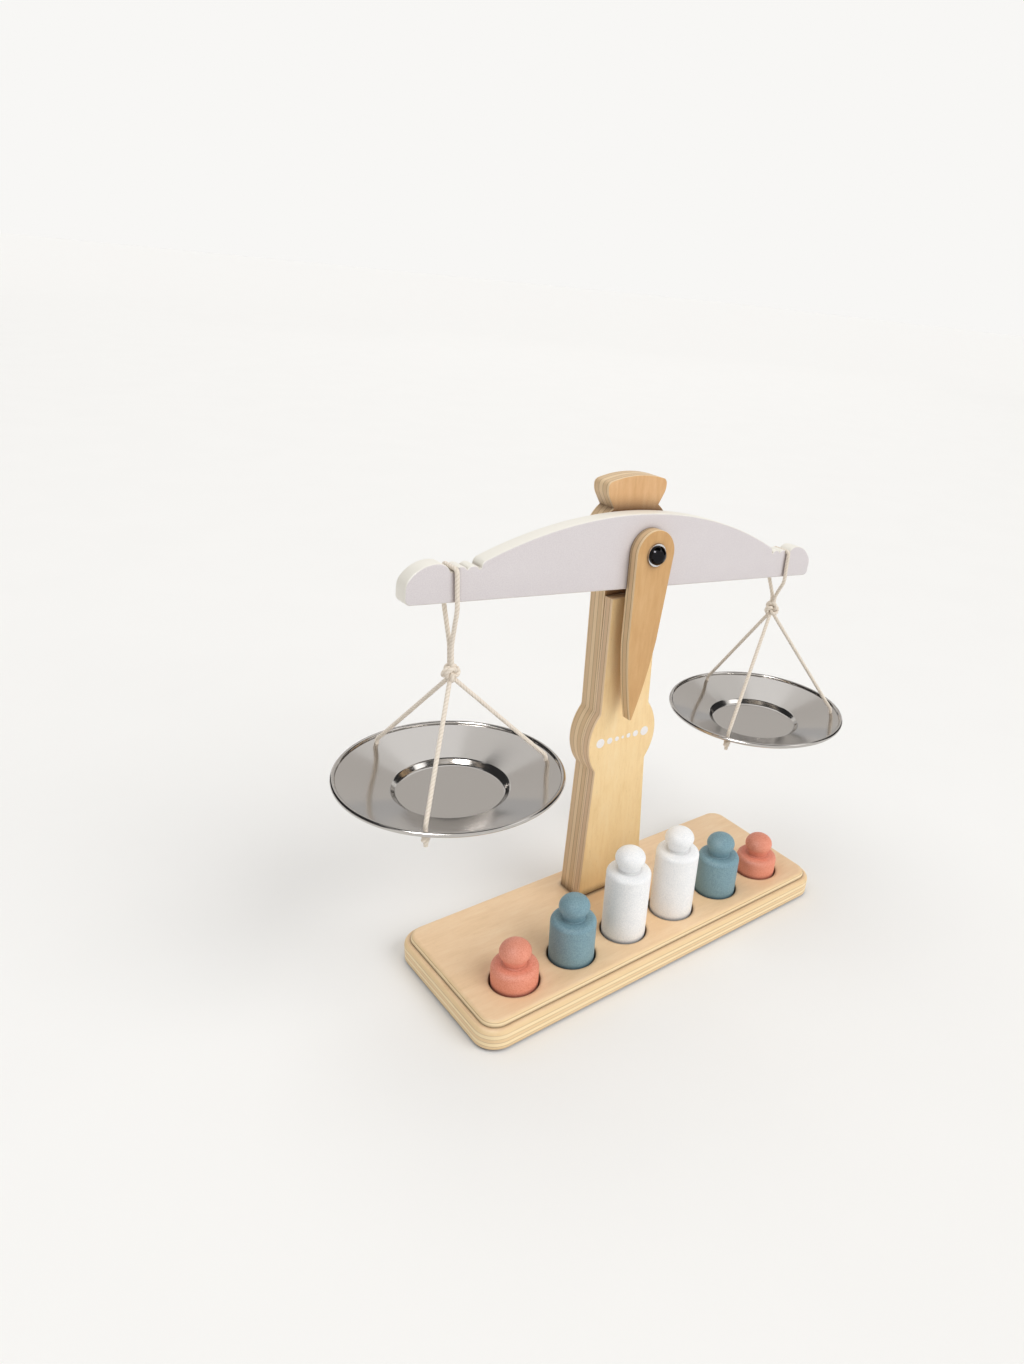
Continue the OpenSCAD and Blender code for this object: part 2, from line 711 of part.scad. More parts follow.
module end_knots(side, angles) {
    color("linen") translate(pan_point(side))
        for (angle = angles) translate(hole_point(angle) - [0, 0, end_knot_drop]) difference() {
            sphere(end_knot_d / 2);
            cylinder(r = cord_r + fit_gap, h = end_knot_d + over, center = true);
        }
}

// A turned weight that stands in a socket and shows the height rise of its body
module weight(step, rise, tone) {
    body_h = socket_depth + rise;
    body_r = weight_d / 2;
    knob_mid = body_h + neck_h + knob_h / 2;
    color(tone) translate([step * weight_pitch / 2, row_y, socket_floor_z]) rotate_extrude() {
        square([body_r - weight_foot_r, body_h - weight_shoulder_r]);
        translate([0, weight_foot_r]) square([body_r, body_h - weight_shoulder_r - weight_foot_r]);
        square([body_r - weight_shoulder_r, body_h]);
        intersection() {
            translate([body_r - weight_foot_r, weight_foot_r]) circle(weight_foot_r);
            square([body_r, body_h]);
        }
        translate([body_r - weight_shoulder_r, body_h - weight_shoulder_r]) circle(weight_shoulder_r);
        translate([0, body_h - over]) square([neck_d / 2, over + knob_h / 2]);
        polygon([for (a = [-90:10:90]) [knob_d / 2 * cos(a), knob_mid + knob_h / 2 * sin(a)]]);
    }
}

base_board();
upright_back();
upright_front();
base_screws();
pivot_bolt();
rear_washer();
pivot_spacer();
front_washer();
cap_nut();
beam();
pointer();
cord_loop(LEFT, left_twin_l);  // left_cord_loop
knot(LEFT);  // left_knot
pan_cord(LEFT, left_hole_angles[0]);  // left_cord_inner
pan_cord(LEFT, left_hole_angles[1]);  // left_cord_rear
pan_cord(LEFT, left_hole_angles[2]);  // left_cord_front
pan(LEFT, left_hole_angles);  // left_pan
end_knots(LEFT, left_hole_angles);  // left_end_knots
cord_loop(RIGHT, right_twin_l);  // right_cord_loop
knot(RIGHT);  // right_knot
pan_cord(RIGHT, right_hole_angles[0]);  // right_cord_outer
pan_cord(RIGHT, right_hole_angles[1]);  // right_cord_rear
pan_cord(RIGHT, right_hole_angles[2]);  // right_cord_inner
pan(RIGHT, right_hole_angles);  // right_pan
end_knots(RIGHT, right_hole_angles);  // right_end_knots
weight(socket_steps[0], small_rise, "salmon");  // weight_small_left
weight(socket_steps[1], medium_rise, "cadetblue");  // weight_medium_left
weight(socket_steps[2], tall_rise, "white");  // weight_tall_left
weight(socket_steps[3], tall_rise, "white");  // weight_tall_right
weight(socket_steps[4], medium_rise, "cadetblue");  // weight_medium_right
weight(socket_steps[5], small_rise, "salmon");  // weight_small_right
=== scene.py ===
"""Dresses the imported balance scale: finer shapes, real finishes, soft studio light and the camera.

The toy stands on a white floor in the part's own frame: metres, +X along the beam, +Y to the back, +Z up.
Sizes are given in millimetres and turned to metres where a mesh is made.
"""

import logging
import math
from dataclasses import dataclass
from enum import Enum

import bpy
import numpy as np
from mathutils import Matrix, Vector


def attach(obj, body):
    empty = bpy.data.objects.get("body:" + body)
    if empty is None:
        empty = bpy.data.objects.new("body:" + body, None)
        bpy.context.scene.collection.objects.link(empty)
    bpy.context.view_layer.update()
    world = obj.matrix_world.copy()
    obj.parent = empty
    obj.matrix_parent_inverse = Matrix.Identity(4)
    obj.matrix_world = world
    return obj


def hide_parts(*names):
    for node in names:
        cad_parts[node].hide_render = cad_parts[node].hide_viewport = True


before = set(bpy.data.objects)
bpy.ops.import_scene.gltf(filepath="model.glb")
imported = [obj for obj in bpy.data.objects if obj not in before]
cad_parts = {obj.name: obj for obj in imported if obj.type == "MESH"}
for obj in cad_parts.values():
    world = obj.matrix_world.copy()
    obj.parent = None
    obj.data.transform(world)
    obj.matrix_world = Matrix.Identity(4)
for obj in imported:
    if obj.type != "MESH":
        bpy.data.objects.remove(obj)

LOG = logging.getLogger("balance_scale")
MM = 0.001
# Points of a CAD mesh that fall in the same cell of this width are one point
WELD_MM = 0.002
# Points of an outline that are nearer than this are one point
SAME_POINT_MM = 1e-4
# Faces that meet at less than this angle shade as one surface
SMOOTH_ANGLE = math.radians(38)
# Heights that more than one assembly takes, in millimetres
BASE_TOP = 16.5
PIVOT_Z = 230.5


class Side(Enum):
    """The two arms of the balance, as the nodes name them."""

    LEFT = "left"
    RIGHT = "right"


class Axis(Enum):
    """An axis of the frame."""

    X = 0
    Y = 1
    Z = 2


# Colour and shader helpers


def linear(hex_colour: str) -> tuple[float, float, float, float]:
    """Turns an sRGB hex colour to a linear RGBA value.

    Args:
        hex_colour: The colour as "#rrggbb".

    Returns:
        Red, green, blue and an alpha of one, each from 0 to 1.
    """
    srgb = [int(hex_colour[i : i + 2], 16) / 255 for i in (1, 3, 5)]
    return tuple(c / 12.92 if c <= 0.04045 else ((c + 0.055) / 1.055) ** 2.4 for c in srgb) + (1.0,)


def scale_of(size_mm: float) -> float:
    """Works out a pattern's scale from the real width of its cells: one over that width in metres.

    Args:
        size_mm: The width of one cell.

    Returns:
        The number of cells in a metre.
    """
    return 1.0 / (size_mm * MM)


def fill(tree: bpy.types.NodeTree, node: bpy.types.Node, inputs: dict) -> None:
    """Gives a node's sockets their values and links.

    Args:
        tree: The node's tree.
        node: The node.
        inputs: Socket name or number, and the value or the output socket that it gets.
    """
    for socket, value in inputs.items():
        if isinstance(value, bpy.types.NodeSocket):
            tree.links.new(value, node.inputs[socket])
        else:
            node.inputs[socket].default_value = value


def add(tree: bpy.types.NodeTree, kind: str, inputs: dict | None = None, **settings) -> bpy.types.Node:
    """Adds a node with its settings and its links.

    Args:
        tree: The node tree that takes the node.
        kind: The node's type, such as "ShaderNodeTexNoise".
        inputs: Socket name or number, and the value or the output socket that it gets.
        **settings: The node's own properties.

    Returns:
        The new node.
    """
    node = tree.nodes.new(kind)
    for name, value in settings.items():
        setattr(node, name, value)
    fill(tree, node, inputs or {})
    return node


def ramp(tree: bpy.types.NodeTree, factor: bpy.types.NodeSocket,
         stops: list[tuple[float, str]]) -> bpy.types.NodeSocket:
    """Adds a colour ramp.

    Args:
        tree: The node tree that takes the ramp.
        factor: The value that runs along the ramp.
        stops: Each place from 0 to 1 with its hex colour.

    Returns:
        The ramp's colour socket.
    """
    node = add(tree, "ShaderNodeValToRGB", {"Fac": factor})
    elements = node.color_ramp.elements
    while len(elements) < len(stops):
        elements.new(0.5)
    for element, (place, colour) in zip(elements, stops):
        element.position = place
        element.color = linear(colour)
    return node.outputs["Color"]


def new_material(name: str) -> tuple[bpy.types.Material, bpy.types.NodeTree, bpy.types.Node]:
    """Starts a material.

    Args:
        name: The material's name.

    Returns:
        The material, its node tree and its Principled shader.
    """
    material = bpy.data.materials.new(name)
    material.use_nodes = True
    tree = material.node_tree
    return material, tree, tree.nodes["Principled BSDF"]


def painted_crevice_shade(tree: bpy.types.NodeTree, colour: bpy.types.NodeSocket, deep: str, reach_mm: float,
                 strength: float) -> bpy.types.NodeSocket:
    """Paints shade into a finish where other surfaces close it in: a darker tone for the shade in corners and
    gaps.

    Args:
        tree: The material's node tree.
        colour: The finish's own colour.
        deep: The tone of the painted shade in the crevices.
        reach_mm: How near another surface counts.
        strength: Share of the deep tone in a fully closed corner.

    Returns:
        The colour with painted shade in its crevices.
    """
    openness = add(tree, "ShaderNodeAmbientOcclusion", {"Distance": reach_mm * MM}, samples=8).outputs["AO"]
    closed = add(tree, "ShaderNodeMapRange", {
        "Value": openness, "From Min": 0.44, "From Max": 0.95, "To Min": strength, "To Max": 0.0,
    }).outputs["Result"]
    return add(tree, "ShaderNodeMix", {0: closed, 6: colour, 7: linear(deep)}, data_type="RGBA").outputs[2]


def squareness(tree: bpy.types.NodeTree, axis: Axis, low: float, high: float) -> bpy.types.NodeSocket:
    """Tells a board's faces from its edges by how squarely the surface faces along an axis.

    Args:
        tree: The material's node tree.
        axis: The axis across the board.
        low: The share of the normal along the axis up to which it is all edge.
        high: The share from which it is all face.

    Returns:
        Zero on the edges and one on the faces.
    """
    normal = add(tree, "ShaderNodeTexCoord").outputs["Normal"]
    facing = add(tree, "ShaderNodeSeparateXYZ", {"Vector": normal}).outputs[axis.value]
    facing = add(tree, "ShaderNodeMath", {0: facing}, operation="ABSOLUTE").outputs[0]
    return add(tree, "ShaderNodeMapRange", {
        "Value": facing, "From Min": low, "From Max": high,
    }).outputs["Result"]


def stretched(tree: bpy.types.NodeTree, place: bpy.types.NodeSocket, grain: Axis, across_mm: float,
              along_mm: float) -> bpy.types.NodeSocket:
    """Scales a place for a pattern whose cells are longer along the grain than across it.

    Args:
        tree: The material's node tree.
        place: The place in metres.
        grain: The axis along the grain.
        across_mm: Width of the pattern's cells.
        along_mm: Their length.

    Returns:
        The scaled place.
    """
    scale = [scale_of(across_mm)] * 3
    scale[grain.value] = scale_of(along_mm)
    return add(tree, "ShaderNodeMapping", {"Vector": place, "Scale": scale}).outputs["Vector"]


# Finishes


@dataclass(frozen=True)
class Plywood:
    """Rotary-cut birch plywood, sanded and clear varnished.

    The faces show a quiet, slightly blotchy grain. The edges show the plies, pale and darker by turns, with
    a thin brown glue line between them. Shade is painted into the corners, darker where other surfaces close
    them in.

    Attributes:
        name: The material's name.
        lay: The axis across the plies.
        grain: The axis along which the face grain runs.
        first_mm: Place of the board's first face along lay.
        ply_mm: Thickness of one ply.
        tint: The face's middle tone.
        dark: The tone of its dark streaks.
        pale: The tone of its light streaks.
        edge_pale: The tone of plies cut along their fibres.
        edge_mid: The tone of plies cut across their fibres.
        glue: The tone of the glue lines.
        shade_reach_mm: How near another surface must be for a corner to get painted shade.
        centre_mm: The frame's point that the pattern is centred on.
        turn_deg: Lean of the grain about +Y.
        waver_mm: How far the plies wander in the thickness.
    """

    name: str
    lay: Axis
    grain: Axis
    first_mm: float
    ply_mm: float
    tint: str
    dark: str
    pale: str
    edge_pale: str
    edge_mid: str
    glue: str = "#7e5638"
    shade_reach_mm: float = 3.0
    centre_mm: tuple[float, float, float] = (0.0, 0.0, 0.0)
    turn_deg: float = 0.0
    waver_mm: float = 0.5

    def face(self, tree: bpy.types.NodeTree, place: bpy.types.NodeSocket) -> bpy.types.NodeSocket:
        """Colours the face: broad soft blotches, streaks 2.5 mm wide and short fine pores.

        Args:
            tree: The material's node tree.
            place: The place in the grain's own directions.

        Returns:
            The face's colour.
        """
        blotches = add(tree, "ShaderNodeTexNoise", {
            "Vector": stretched(tree, place, self.grain, 13.3, 31.25),
            "Scale": 1.0, "Detail": 4.0, "Roughness": 0.65,
        }).outputs["Fac"]
        streaks = add(tree, "ShaderNodeTexNoise", {
            "Vector": stretched(tree, place, self.grain, 2.5, 16.7),
            "Scale": 1.0, "Detail": 4.0, "Roughness": 0.6,
        }).outputs["Fac"]
        both = add(tree, "ShaderNodeMath", {0: blotches, 1: streaks}, operation="ADD").outputs[0]
        half = add(tree, "ShaderNodeMath", {0: both, 1: 0.5}, operation="MULTIPLY").outputs[0]
        colour = ramp(tree, half, [(0.3, self.dark), (0.5, self.tint), (0.7, self.pale)])
        pores = add(tree, "ShaderNodeTexNoise", {
            "Vector": stretched(tree, place, self.grain, 0.357, 3.125), "Scale": 1.0, "Detail": 1.0,
        }).outputs["Fac"]
        flecks = add(tree, "ShaderNodeMapRange", {
            "Value": pores, "From Min": 0.64, "From Max": 0.8, "To Min": 0.0, "To Max": 0.16,
        }).outputs["Result"]
        return add(tree, "ShaderNodeMix", {0: flecks, 6: colour, 7: linear(self.glue)},
                   data_type="RGBA").outputs[2]

    def edge(self, tree: bpy.types.NodeTree, place: bpy.types.NodeSocket,
             steady: bpy.types.NodeSocket) -> bpy.types.NodeSocket:
        """Colours the edge: the plies as a triangle wave across the thickness, glue lines where they meet.

        Args:
            tree: The material's node tree.
            place: The place in the grain's own directions.
            steady: The place in the frame's directions, for the thickness.

        Returns:
            The edge's colour.
        """
        waver = add(tree, "ShaderNodeTexNoise", {
            "Vector": stretched(tree, place, self.grain, 16.7, 83.3), "Scale": 1.0, "Detail": 2.0,
        }).outputs["Fac"]
        depth = add(tree, "ShaderNodeSeparateXYZ", {"Vector": steady}).outputs[self.lay.value]
        depth = add(tree, "ShaderNodeMath", {0: waver, 1: self.waver_mm * MM, 2: depth},
                    operation="MULTIPLY_ADD").outputs[0]
        # The noise is a half on average, so half of the wander comes off again
        plies = add(tree, "ShaderNodeMath", {
            0: depth, 1: (self.first_mm + self.waver_mm / 2) * MM,
        }, operation="SUBTRACT").outputs[0]
        plies = add(tree, "ShaderNodeMath", {0: plies, 1: self.ply_mm * MM}, operation="DIVIDE").outputs[0]
        wave = add(tree, "ShaderNodeMath", {0: plies, 1: 1.0}, operation="PINGPONG").outputs[0]
        across = add(tree, "ShaderNodeMapRange", {
            "Value": wave, "From Min": 0.42, "From Max": 0.58,
        }).outputs["Result"]
        # Cut fibres: streaks 0.7 mm wide, which shift the tone by up to a quarter
        fibres = add(tree, "ShaderNodeTexNoise", {
            "Vector": stretched(tree, place, self.grain, 0.667, 8.33), "Scale": 1.0, "Detail": 3.0,
        }).outputs["Fac"]
        tone = add(tree, "ShaderNodeMath", {0: fibres, 1: 0.55, 2: -0.27},
                   operation="MULTIPLY_ADD").outputs[0]
        tone = add(tree, "ShaderNodeMath", {0: across, 1: 0.8, 2: tone}, operation="MULTIPLY_ADD",
                   use_clamp=True).outputs[0]
        colour = ramp(tree, tone, [(0.0, self.edge_pale), (1.0, self.edge_mid)])
        # A glue line lies where the wave is half way, and it is fainter where the plies wander least
        off = add(tree, "ShaderNodeMath", {0: wave, 1: 0.5}, operation="SUBTRACT").outputs[0]
        off = add(tree, "ShaderNodeMath", {0: off}, operation="ABSOLUTE").outputs[0]
        line = add(tree, "ShaderNodeMapRange", {
            "Value": off, "From Min": 0.02, "From Max": 0.09, "To Min": 0.8, "To Max": 0.0,
        }).outputs["Result"]
        broken = add(tree, "ShaderNodeMapRange", {
            "Value": waver, "From Min": 0.35, "From Max": 0.6, "To Min": 0.45, "To Max": 1.0,
        }).outputs["Result"]
        line = add(tree, "ShaderNodeMath", {0: line, 1: broken}, operation="MULTIPLY").outputs[0]
        return add(tree, "ShaderNodeMix", {0: line, 6: colour, 7: linear(self.glue)},
                   data_type="RGBA").outputs[2]

    def build(self) -> bpy.types.Material:
        """Makes the material.

        Returns:
            The finished material.
        """
        material, tree, shader = new_material(self.name)
        steady = add(tree, "ShaderNodeTexCoord").outputs["Object"]
        centred = add(tree, "ShaderNodeMapping", {
            "Vector": steady, "Location": Vector(self.centre_mm) * -MM,
        }).outputs["Vector"]
        place = add(tree, "ShaderNodeVectorRotate", {
            "Vector": centred, "Axis": (0.0, 1.0, 0.0), "Angle": math.radians(-self.turn_deg),
        }).outputs["Vector"]
        flat = squareness(tree, self.lay, 0.75, 0.96)
        colour = add(tree, "ShaderNodeMix", {
            0: flat, 6: self.edge(tree, place, steady), 7: self.face(tree, place),
        }, data_type="RGBA").outputs[2]
        # Raised grain under the varnish: ridges 0.9 mm wide
        relief = add(tree, "ShaderNodeTexNoise", {
            "Vector": stretched(tree, place, self.grain, 0.909, 16.7), "Scale": 1.0, "Detail": 3.0,
        }).outputs["Fac"]
        rough = add(tree, "ShaderNodeMapRange", {
            "Value": relief, "To Min": 0.4, "To Max": 0.62,
        }).outputs["Result"]
        bump = add(tree, "ShaderNodeBump", {
            "Height": relief, "Strength": 0.12, "Distance": 0.2 * MM,
        }).outputs["Normal"]
        # The base colour gets painted shade: dark brown in its corners and gaps
        fill(tree, shader, {
            "Base Color": painted_crevice_shade(tree, colour, "#4a2a18", self.shade_reach_mm, 0.85),
            "Roughness": rough,
            "Normal": bump,
            "IOR": 1.5,
        })
        return material


@dataclass(frozen=True)
class PaintedWood:
    """Water-based toy paint on sanded wood: an even satin coat, in which the grain shows as faint relief.

    Attributes:
        name: The material's name.
        colour: The paint's colour.
        shade: The slightly deeper tone where the coat is thicker.
        deep: The tone of the painted shade in its crevices.
        roughness: How matt the coat dries.
        grain: The axis along which the wood's grain runs.
        edge: A lighter tone painted on a board's edges, which stands in for the light on its top edge, or
            None.
        uneven: How far the roughness differs from place to place.
    """

    name: str
    colour: str
    shade: str
    deep: str
    roughness: float
    grain: Axis = Axis.Z
    edge: str | None = None
    uneven: float = 0.06

    def build(self) -> bpy.types.Material:
        """Makes the material.

        Returns:
            The finished material.
        """
        material, tree, shader = new_material(self.name)
        place = add(tree, "ShaderNodeTexCoord").outputs["Object"]
        # Cloudy film: soft patches about 12 mm across, as a sprayed coat dries
        cloud = add(tree, "ShaderNodeTexNoise", {
            "Vector": place, "Scale": scale_of(12.5), "Detail": 6.0, "Roughness": 0.7,
        }).outputs["Fac"]
        # Matting grains: specks 0.6 mm across in the film
        specks = add(tree, "ShaderNodeTexNoise", {
            "Vector": place, "Scale": scale_of(0.588), "Detail": 2.0,
        }).outputs["Fac"]
        film = add(tree, "ShaderNodeMath", {0: cloud, 1: 0.3, 2: specks}, operation="MULTIPLY_ADD").outputs[0]
        colour = ramp(tree, film, [(0.5, self.shade), (0.78, self.colour)])
        # Painted light: the board's edges get a lighter, warmer tone, which stands in for the light on its
        # top edge
        if self.edge is not None:
            flat = squareness(tree, Axis.Y, 0.55, 0.97)
            colour = add(tree, "ShaderNodeMix", {0: flat, 6: linear(self.edge), 7: colour},
                         data_type="RGBA").outputs[2]
        # Grain under the paint: streaks 0.8 mm wide and 12 times as long
        grain = add(tree, "ShaderNodeTexNoise", {
            "Vector": stretched(tree, place, self.grain, 0.833, 10.0), "Scale": 1.0, "Detail": 2.0,
        }).outputs["Fac"]
        # Orange peel: the dried film's own dimples, 0.5 mm across
        peel = add(tree, "ShaderNodeTexNoise", {
            "Vector": place, "Scale": scale_of(0.5), "Detail": 1.0,
        }).outputs["Fac"]
        height = add(tree, "ShaderNodeMath", {0: peel, 1: 0.5, 2: grain}, operation="MULTIPLY_ADD").outputs[0]
        bump = add(tree, "ShaderNodeBump", {
            "Height": height, "Strength": 0.16, "Distance": 0.15 * MM,
        }).outputs["Normal"]
        rough = add(tree, "ShaderNodeMapRange", {
            "Value": cloud, "To Min": self.roughness - self.uneven, "To Max": self.roughness + self.uneven,
        }).outputs["Result"]
        # The base colour gets painted shade in the deep tone in its crevices
        fill(tree, shader, {
            "Base Color": painted_crevice_shade(tree, colour, self.deep, 2.5, 0.5),
            "Roughness": rough,
            "Normal": bump,
            "IOR": 1.48,
        })
        return material


@dataclass(frozen=True)
class SpunSteel:
    """Stainless steel sheet, spun on a lathe and polished: mirror-like, with faint rings round its middle.

    Attributes:
        name: The material's name.
        centre_mm: The middle of the rings.
        colour: The metal's colour.
        smooth: Blur of its reflections between the rings.
        ringed: Blur of its reflections on them.
    """

    name: str
    centre_mm: tuple[float, float, float]
    colour: str = "#bfbbb7"
    smooth: float = 0.07
    ringed: float = 0.19

    def build(self) -> bpy.types.Material:
        """Makes the material.

        Returns:
            The finished material.
        """
        material, tree, shader = new_material(self.name)
        place = add(tree, "ShaderNodeTexCoord").outputs["Object"]
        centred = add(tree, "ShaderNodeMapping", {
            "Vector": place, "Location": Vector(self.centre_mm) * -MM,
        }).outputs["Vector"]
        axes = add(tree, "ShaderNodeSeparateXYZ", {"Vector": centred}).outputs
        flat = add(tree, "ShaderNodeCombineXYZ", {"X": axes["X"], "Y": axes["Y"]}).outputs["Vector"]
        radius = add(tree, "ShaderNodeVectorMath", {0: flat}, operation="LENGTH").outputs["Value"]
        # Spinning rings: tool marks about 0.6 mm apart, drawn as noise along the radius alone
        rings = add(tree, "ShaderNodeTexNoise", {
            "W": radius, "Scale": scale_of(0.625), "Detail": 2.0,
        }, noise_dimensions="1D").outputs["Fac"]
        rough = add(tree, "ShaderNodeMapRange", {
            "Value": rings, "To Min": self.smooth, "To Max": self.ringed,
        }).outputs["Result"]
        bump = add(tree, "ShaderNodeBump", {
            "Height": rings, "Strength": 0.06, "Distance": 0.1 * MM,
        }).outputs["Normal"]
        fill(tree, shader, {
            "Base Color": linear(self.colour), "Metallic": 1.0, "Roughness": rough, "Normal": bump,
        })
        return material


@dataclass(frozen=True)
class PlatedSteel:
    """Turned or pressed steel with a thin bright plating, slightly uneven where it was tumbled.

    Attributes:
        name: The material's name.
        colour: The plating's colour.
        roughness: Blur of its reflections.
    """

    name: str
    colour: str
    roughness: float

    def build(self) -> bpy.types.Material:
        """Makes the material.

        Returns:
            The finished material.
        """
        material, tree, shader = new_material(self.name)
        place = add(tree, "ShaderNodeTexCoord").outputs["Object"]
        # Tumbling marks: patches about 1 mm across
        marks = add(tree, "ShaderNodeTexNoise", {
            "Vector": place, "Scale": scale_of(1.11), "Detail": 3.0,
        }).outputs["Fac"]
        rough = add(tree, "ShaderNodeMapRange", {
            "Value": marks, "To Min": self.roughness * 0.7, "To Max": self.roughness * 1.4,
        }).outputs["Result"]
        bump = add(tree, "ShaderNodeBump", {
            "Height": marks, "Strength": 0.03, "Distance": 0.1 * MM,
        }).outputs["Normal"]
        fill(tree, shader, {
            "Base Color": linear(self.colour), "Metallic": 1.0, "Roughness": rough, "Normal": bump,
        })
        return material


@dataclass(frozen=True)
class Nylon:
    """Natural nylon, moulded: milky and dull, with a fine stipple from the mould.

    Attributes:
        name: The material's name.
        colour: The colour of its raised grains.
        shade: The colour between them.
    """

    name: str = "moulded_nylon"
    colour: str = "#e9e7dd"
    shade: str = "#dfddd2"

    def build(self) -> bpy.types.Material:
        """Makes the material.

        Returns:
            The finished material.
        """
        material, tree, shader = new_material(self.name)
        place = add(tree, "ShaderNodeTexCoord").outputs["Object"]
        # Mould texture: a fine even stipple 0.4 mm across
        stipple = add(tree, "ShaderNodeTexNoise", {
            "Vector": place, "Scale": scale_of(0.4), "Detail": 1.0,
        }).outputs["Fac"]
        bump = add(tree, "ShaderNodeBump", {
            "Height": stipple, "Strength": 0.08, "Distance": 0.1 * MM,
        }).outputs["Normal"]
        fill(tree, shader, {
            "Base Color": ramp(tree, stipple, [(0.3, self.shade), (0.7, self.colour)]),
            "Roughness": 0.5,
            "Normal": bump,
        })
        return material


@dataclass(frozen=True)
class CottonCord:
    """Twisted unbleached cotton: three soft yarns, each with fine fibres along its own twist.

    Attributes:
        name: The material's name.
        pale: Tone of the yarns' crowns.
        deep: Tone of the furrows between them, a painted shade.
        hair_mm: Width of the fibres, which are drawn ten times as coarse as real ones so that they show.
        hairs_round: Number of fibre lengths round the cord.
        slant: Turn of the fibres against the cord, in radians.
    """

    name: str = "twisted_cotton"
    pale: str = "#ebe0d2"
    deep: str = "#d8cbb9"
    hair_mm: float = 0.1923
    hairs_round: float = 14.0
    slant: float = 0.6

    def build(self) -> bpy.types.Material:
        """Makes the material.

        Returns:
            The finished material.
        """
        material, tree, shader = new_material(self.name)
        # The cord's UV map runs once round it in U, and in V along it in metres
        route = add(tree, "ShaderNodeUVMap", uv_map="along").outputs["UV"]
        height = add(tree, "ShaderNodeAttribute", attribute_name="crown").outputs["Fac"]
        slanted = add(tree, "ShaderNodeMapping", {
            "Vector": route,
            "Rotation": (0.0, 0.0, self.slant),
            "Scale": (self.hairs_round, scale_of(self.hair_mm), 1.0),
        }).outputs["Vector"]
        fibres = add(tree, "ShaderNodeTexNoise", {
            "Vector": slanted, "Scale": 1.0, "Detail": 3.0,
        }).outputs["Fac"]
        # Painted shade: the furrows between the yarns are darker and their crowns lighter
        blend = add(tree, "ShaderNodeMath", {0: fibres, 1: 0.35, 2: height},
                    operation="MULTIPLY_ADD").outputs[0]
        bump = add(tree, "ShaderNodeBump", {
            "Height": fibres, "Strength": 0.35, "Distance": 0.1 * MM,
        }).outputs["Normal"]
        fill(tree, shader, {
            "Base Color": ramp(tree, blend, [(0.25, self.deep), (0.95, self.pale)]),
            "Roughness": 0.9,
            "Normal": bump,
            "Sheen Weight": 0.25,
            "Sheen Roughness": 0.6,
        })
        return material


# Outlines and directions, all in millimetres


def up(height: float) -> np.ndarray:
    """Gives the vector that points straight up.

    Args:
        height: Its length, which is negative for a vector that points down.

    Returns:
        The vector.
    """
    return np.array([0.0, 0.0, height])


def outward(angle: float) -> np.ndarray:
    """Gives a level direction as the cosine and sine of its angle.

    Args:
        angle: Degrees from +X towards +Y.

    Returns:
        A vector of length one.
    """
    return np.array([math.cos(math.radians(angle)), math.sin(math.radians(angle)), 0.0])


def arc(centre: tuple[float, float], radius: float, start: float, end: float, steps: int = 16) -> np.ndarray:
    """Works out an arc: the centre plus the radius times the cosine and sine of an even run of angles.

    Args:
        centre: The arc's middle.
        radius: Its radius.
        start: First angle in degrees.
        end: Last angle in degrees.
        steps: Number of steps between them.

    Returns:
        The arc's points, one row each.
    """
    angles = np.radians(np.linspace(start, end, steps + 1))
    return np.array(centre) + radius * np.stack([np.cos(angles), np.sin(angles)], axis=1)


def arc_through(first: np.ndarray, middle: np.ndarray, last: np.ndarray, steps: int = 20) -> np.ndarray:
    """Works out the arc through three points, from the circle whose centre is equally far from all of them.

    Args:
        first: Where the arc starts.
        middle: A point on it.
        last: Where it ends.
        steps: Number of steps along it.

    Returns:
        The arc's points.
    """
    rows = 2 * np.array([middle - first, last - first])
    sides = np.array([middle @ middle - first @ first, last @ last - first @ first])
    centre = np.linalg.solve(rows, sides)
    start, end = (math.degrees(math.atan2(*(p - centre)[::-1])) for p in (first, last))
    return arc(tuple(centre), float(np.linalg.norm(first - centre)), start, end, steps)


def rounded(corners: list[tuple[float, float, float]], steps: int = 8) -> np.ndarray:
    """Rounds the corners of an open line, each by an arc that touches both of its sides.

    The arc's middle lies on the line that halves the corner, at the radius over the sine of half its angle.
    The arc starts and ends at the radius over the tangent of that half angle from the corner.

    Args:
        corners: Each corner's two places and its radius, which is zero where it stays sharp.
        steps: Number of steps in each arc.

    Returns:
        The line's points.
    """
    points = [np.array(corners[0][:2])]
    for before, (x, z, radius), after in zip(corners, corners[1:], corners[2:]):
        here = np.array([x, z])
        if radius <= 0:
            points.append(here)
            continue
        back, on = (np.array(p[:2]) - here for p in (before, after))
        back, on = back / np.linalg.norm(back), on / np.linalg.norm(on)
        half = math.acos(float(np.clip(back @ on, -1, 1))) / 2
        middle = here + (back + on) / np.linalg.norm(back + on) * radius / math.sin(half)
        start, end = (here + way * radius / math.tan(half) - middle for way in (back, on))
        turn = math.atan2(start[0] * end[1] - start[1] * end[0], float(start @ end))
        angles = math.atan2(start[1], start[0]) + turn * np.linspace(0, 1, steps + 1)
        points.extend(middle + radius * np.stack([np.cos(angles), np.sin(angles)], axis=1))
    points.append(np.array(corners[-1][:2]))
    return np.array(points)


def mirrored(half: np.ndarray) -> np.ndarray:
    """Closes the right half of an outline with its mirror image about the line x = 0.

    Args:
        half: The right half's points.

    Returns:
        The whole outline, without doubled points on the mirror line.
    """
    other = half[::-1] * np.array([-1.0, 1.0])
    whole = np.concatenate([half, other])
    keep = np.linalg.norm(whole - np.roll(whole, 1, axis=0), axis=1) > SAME_POINT_MM
    return whole[keep]


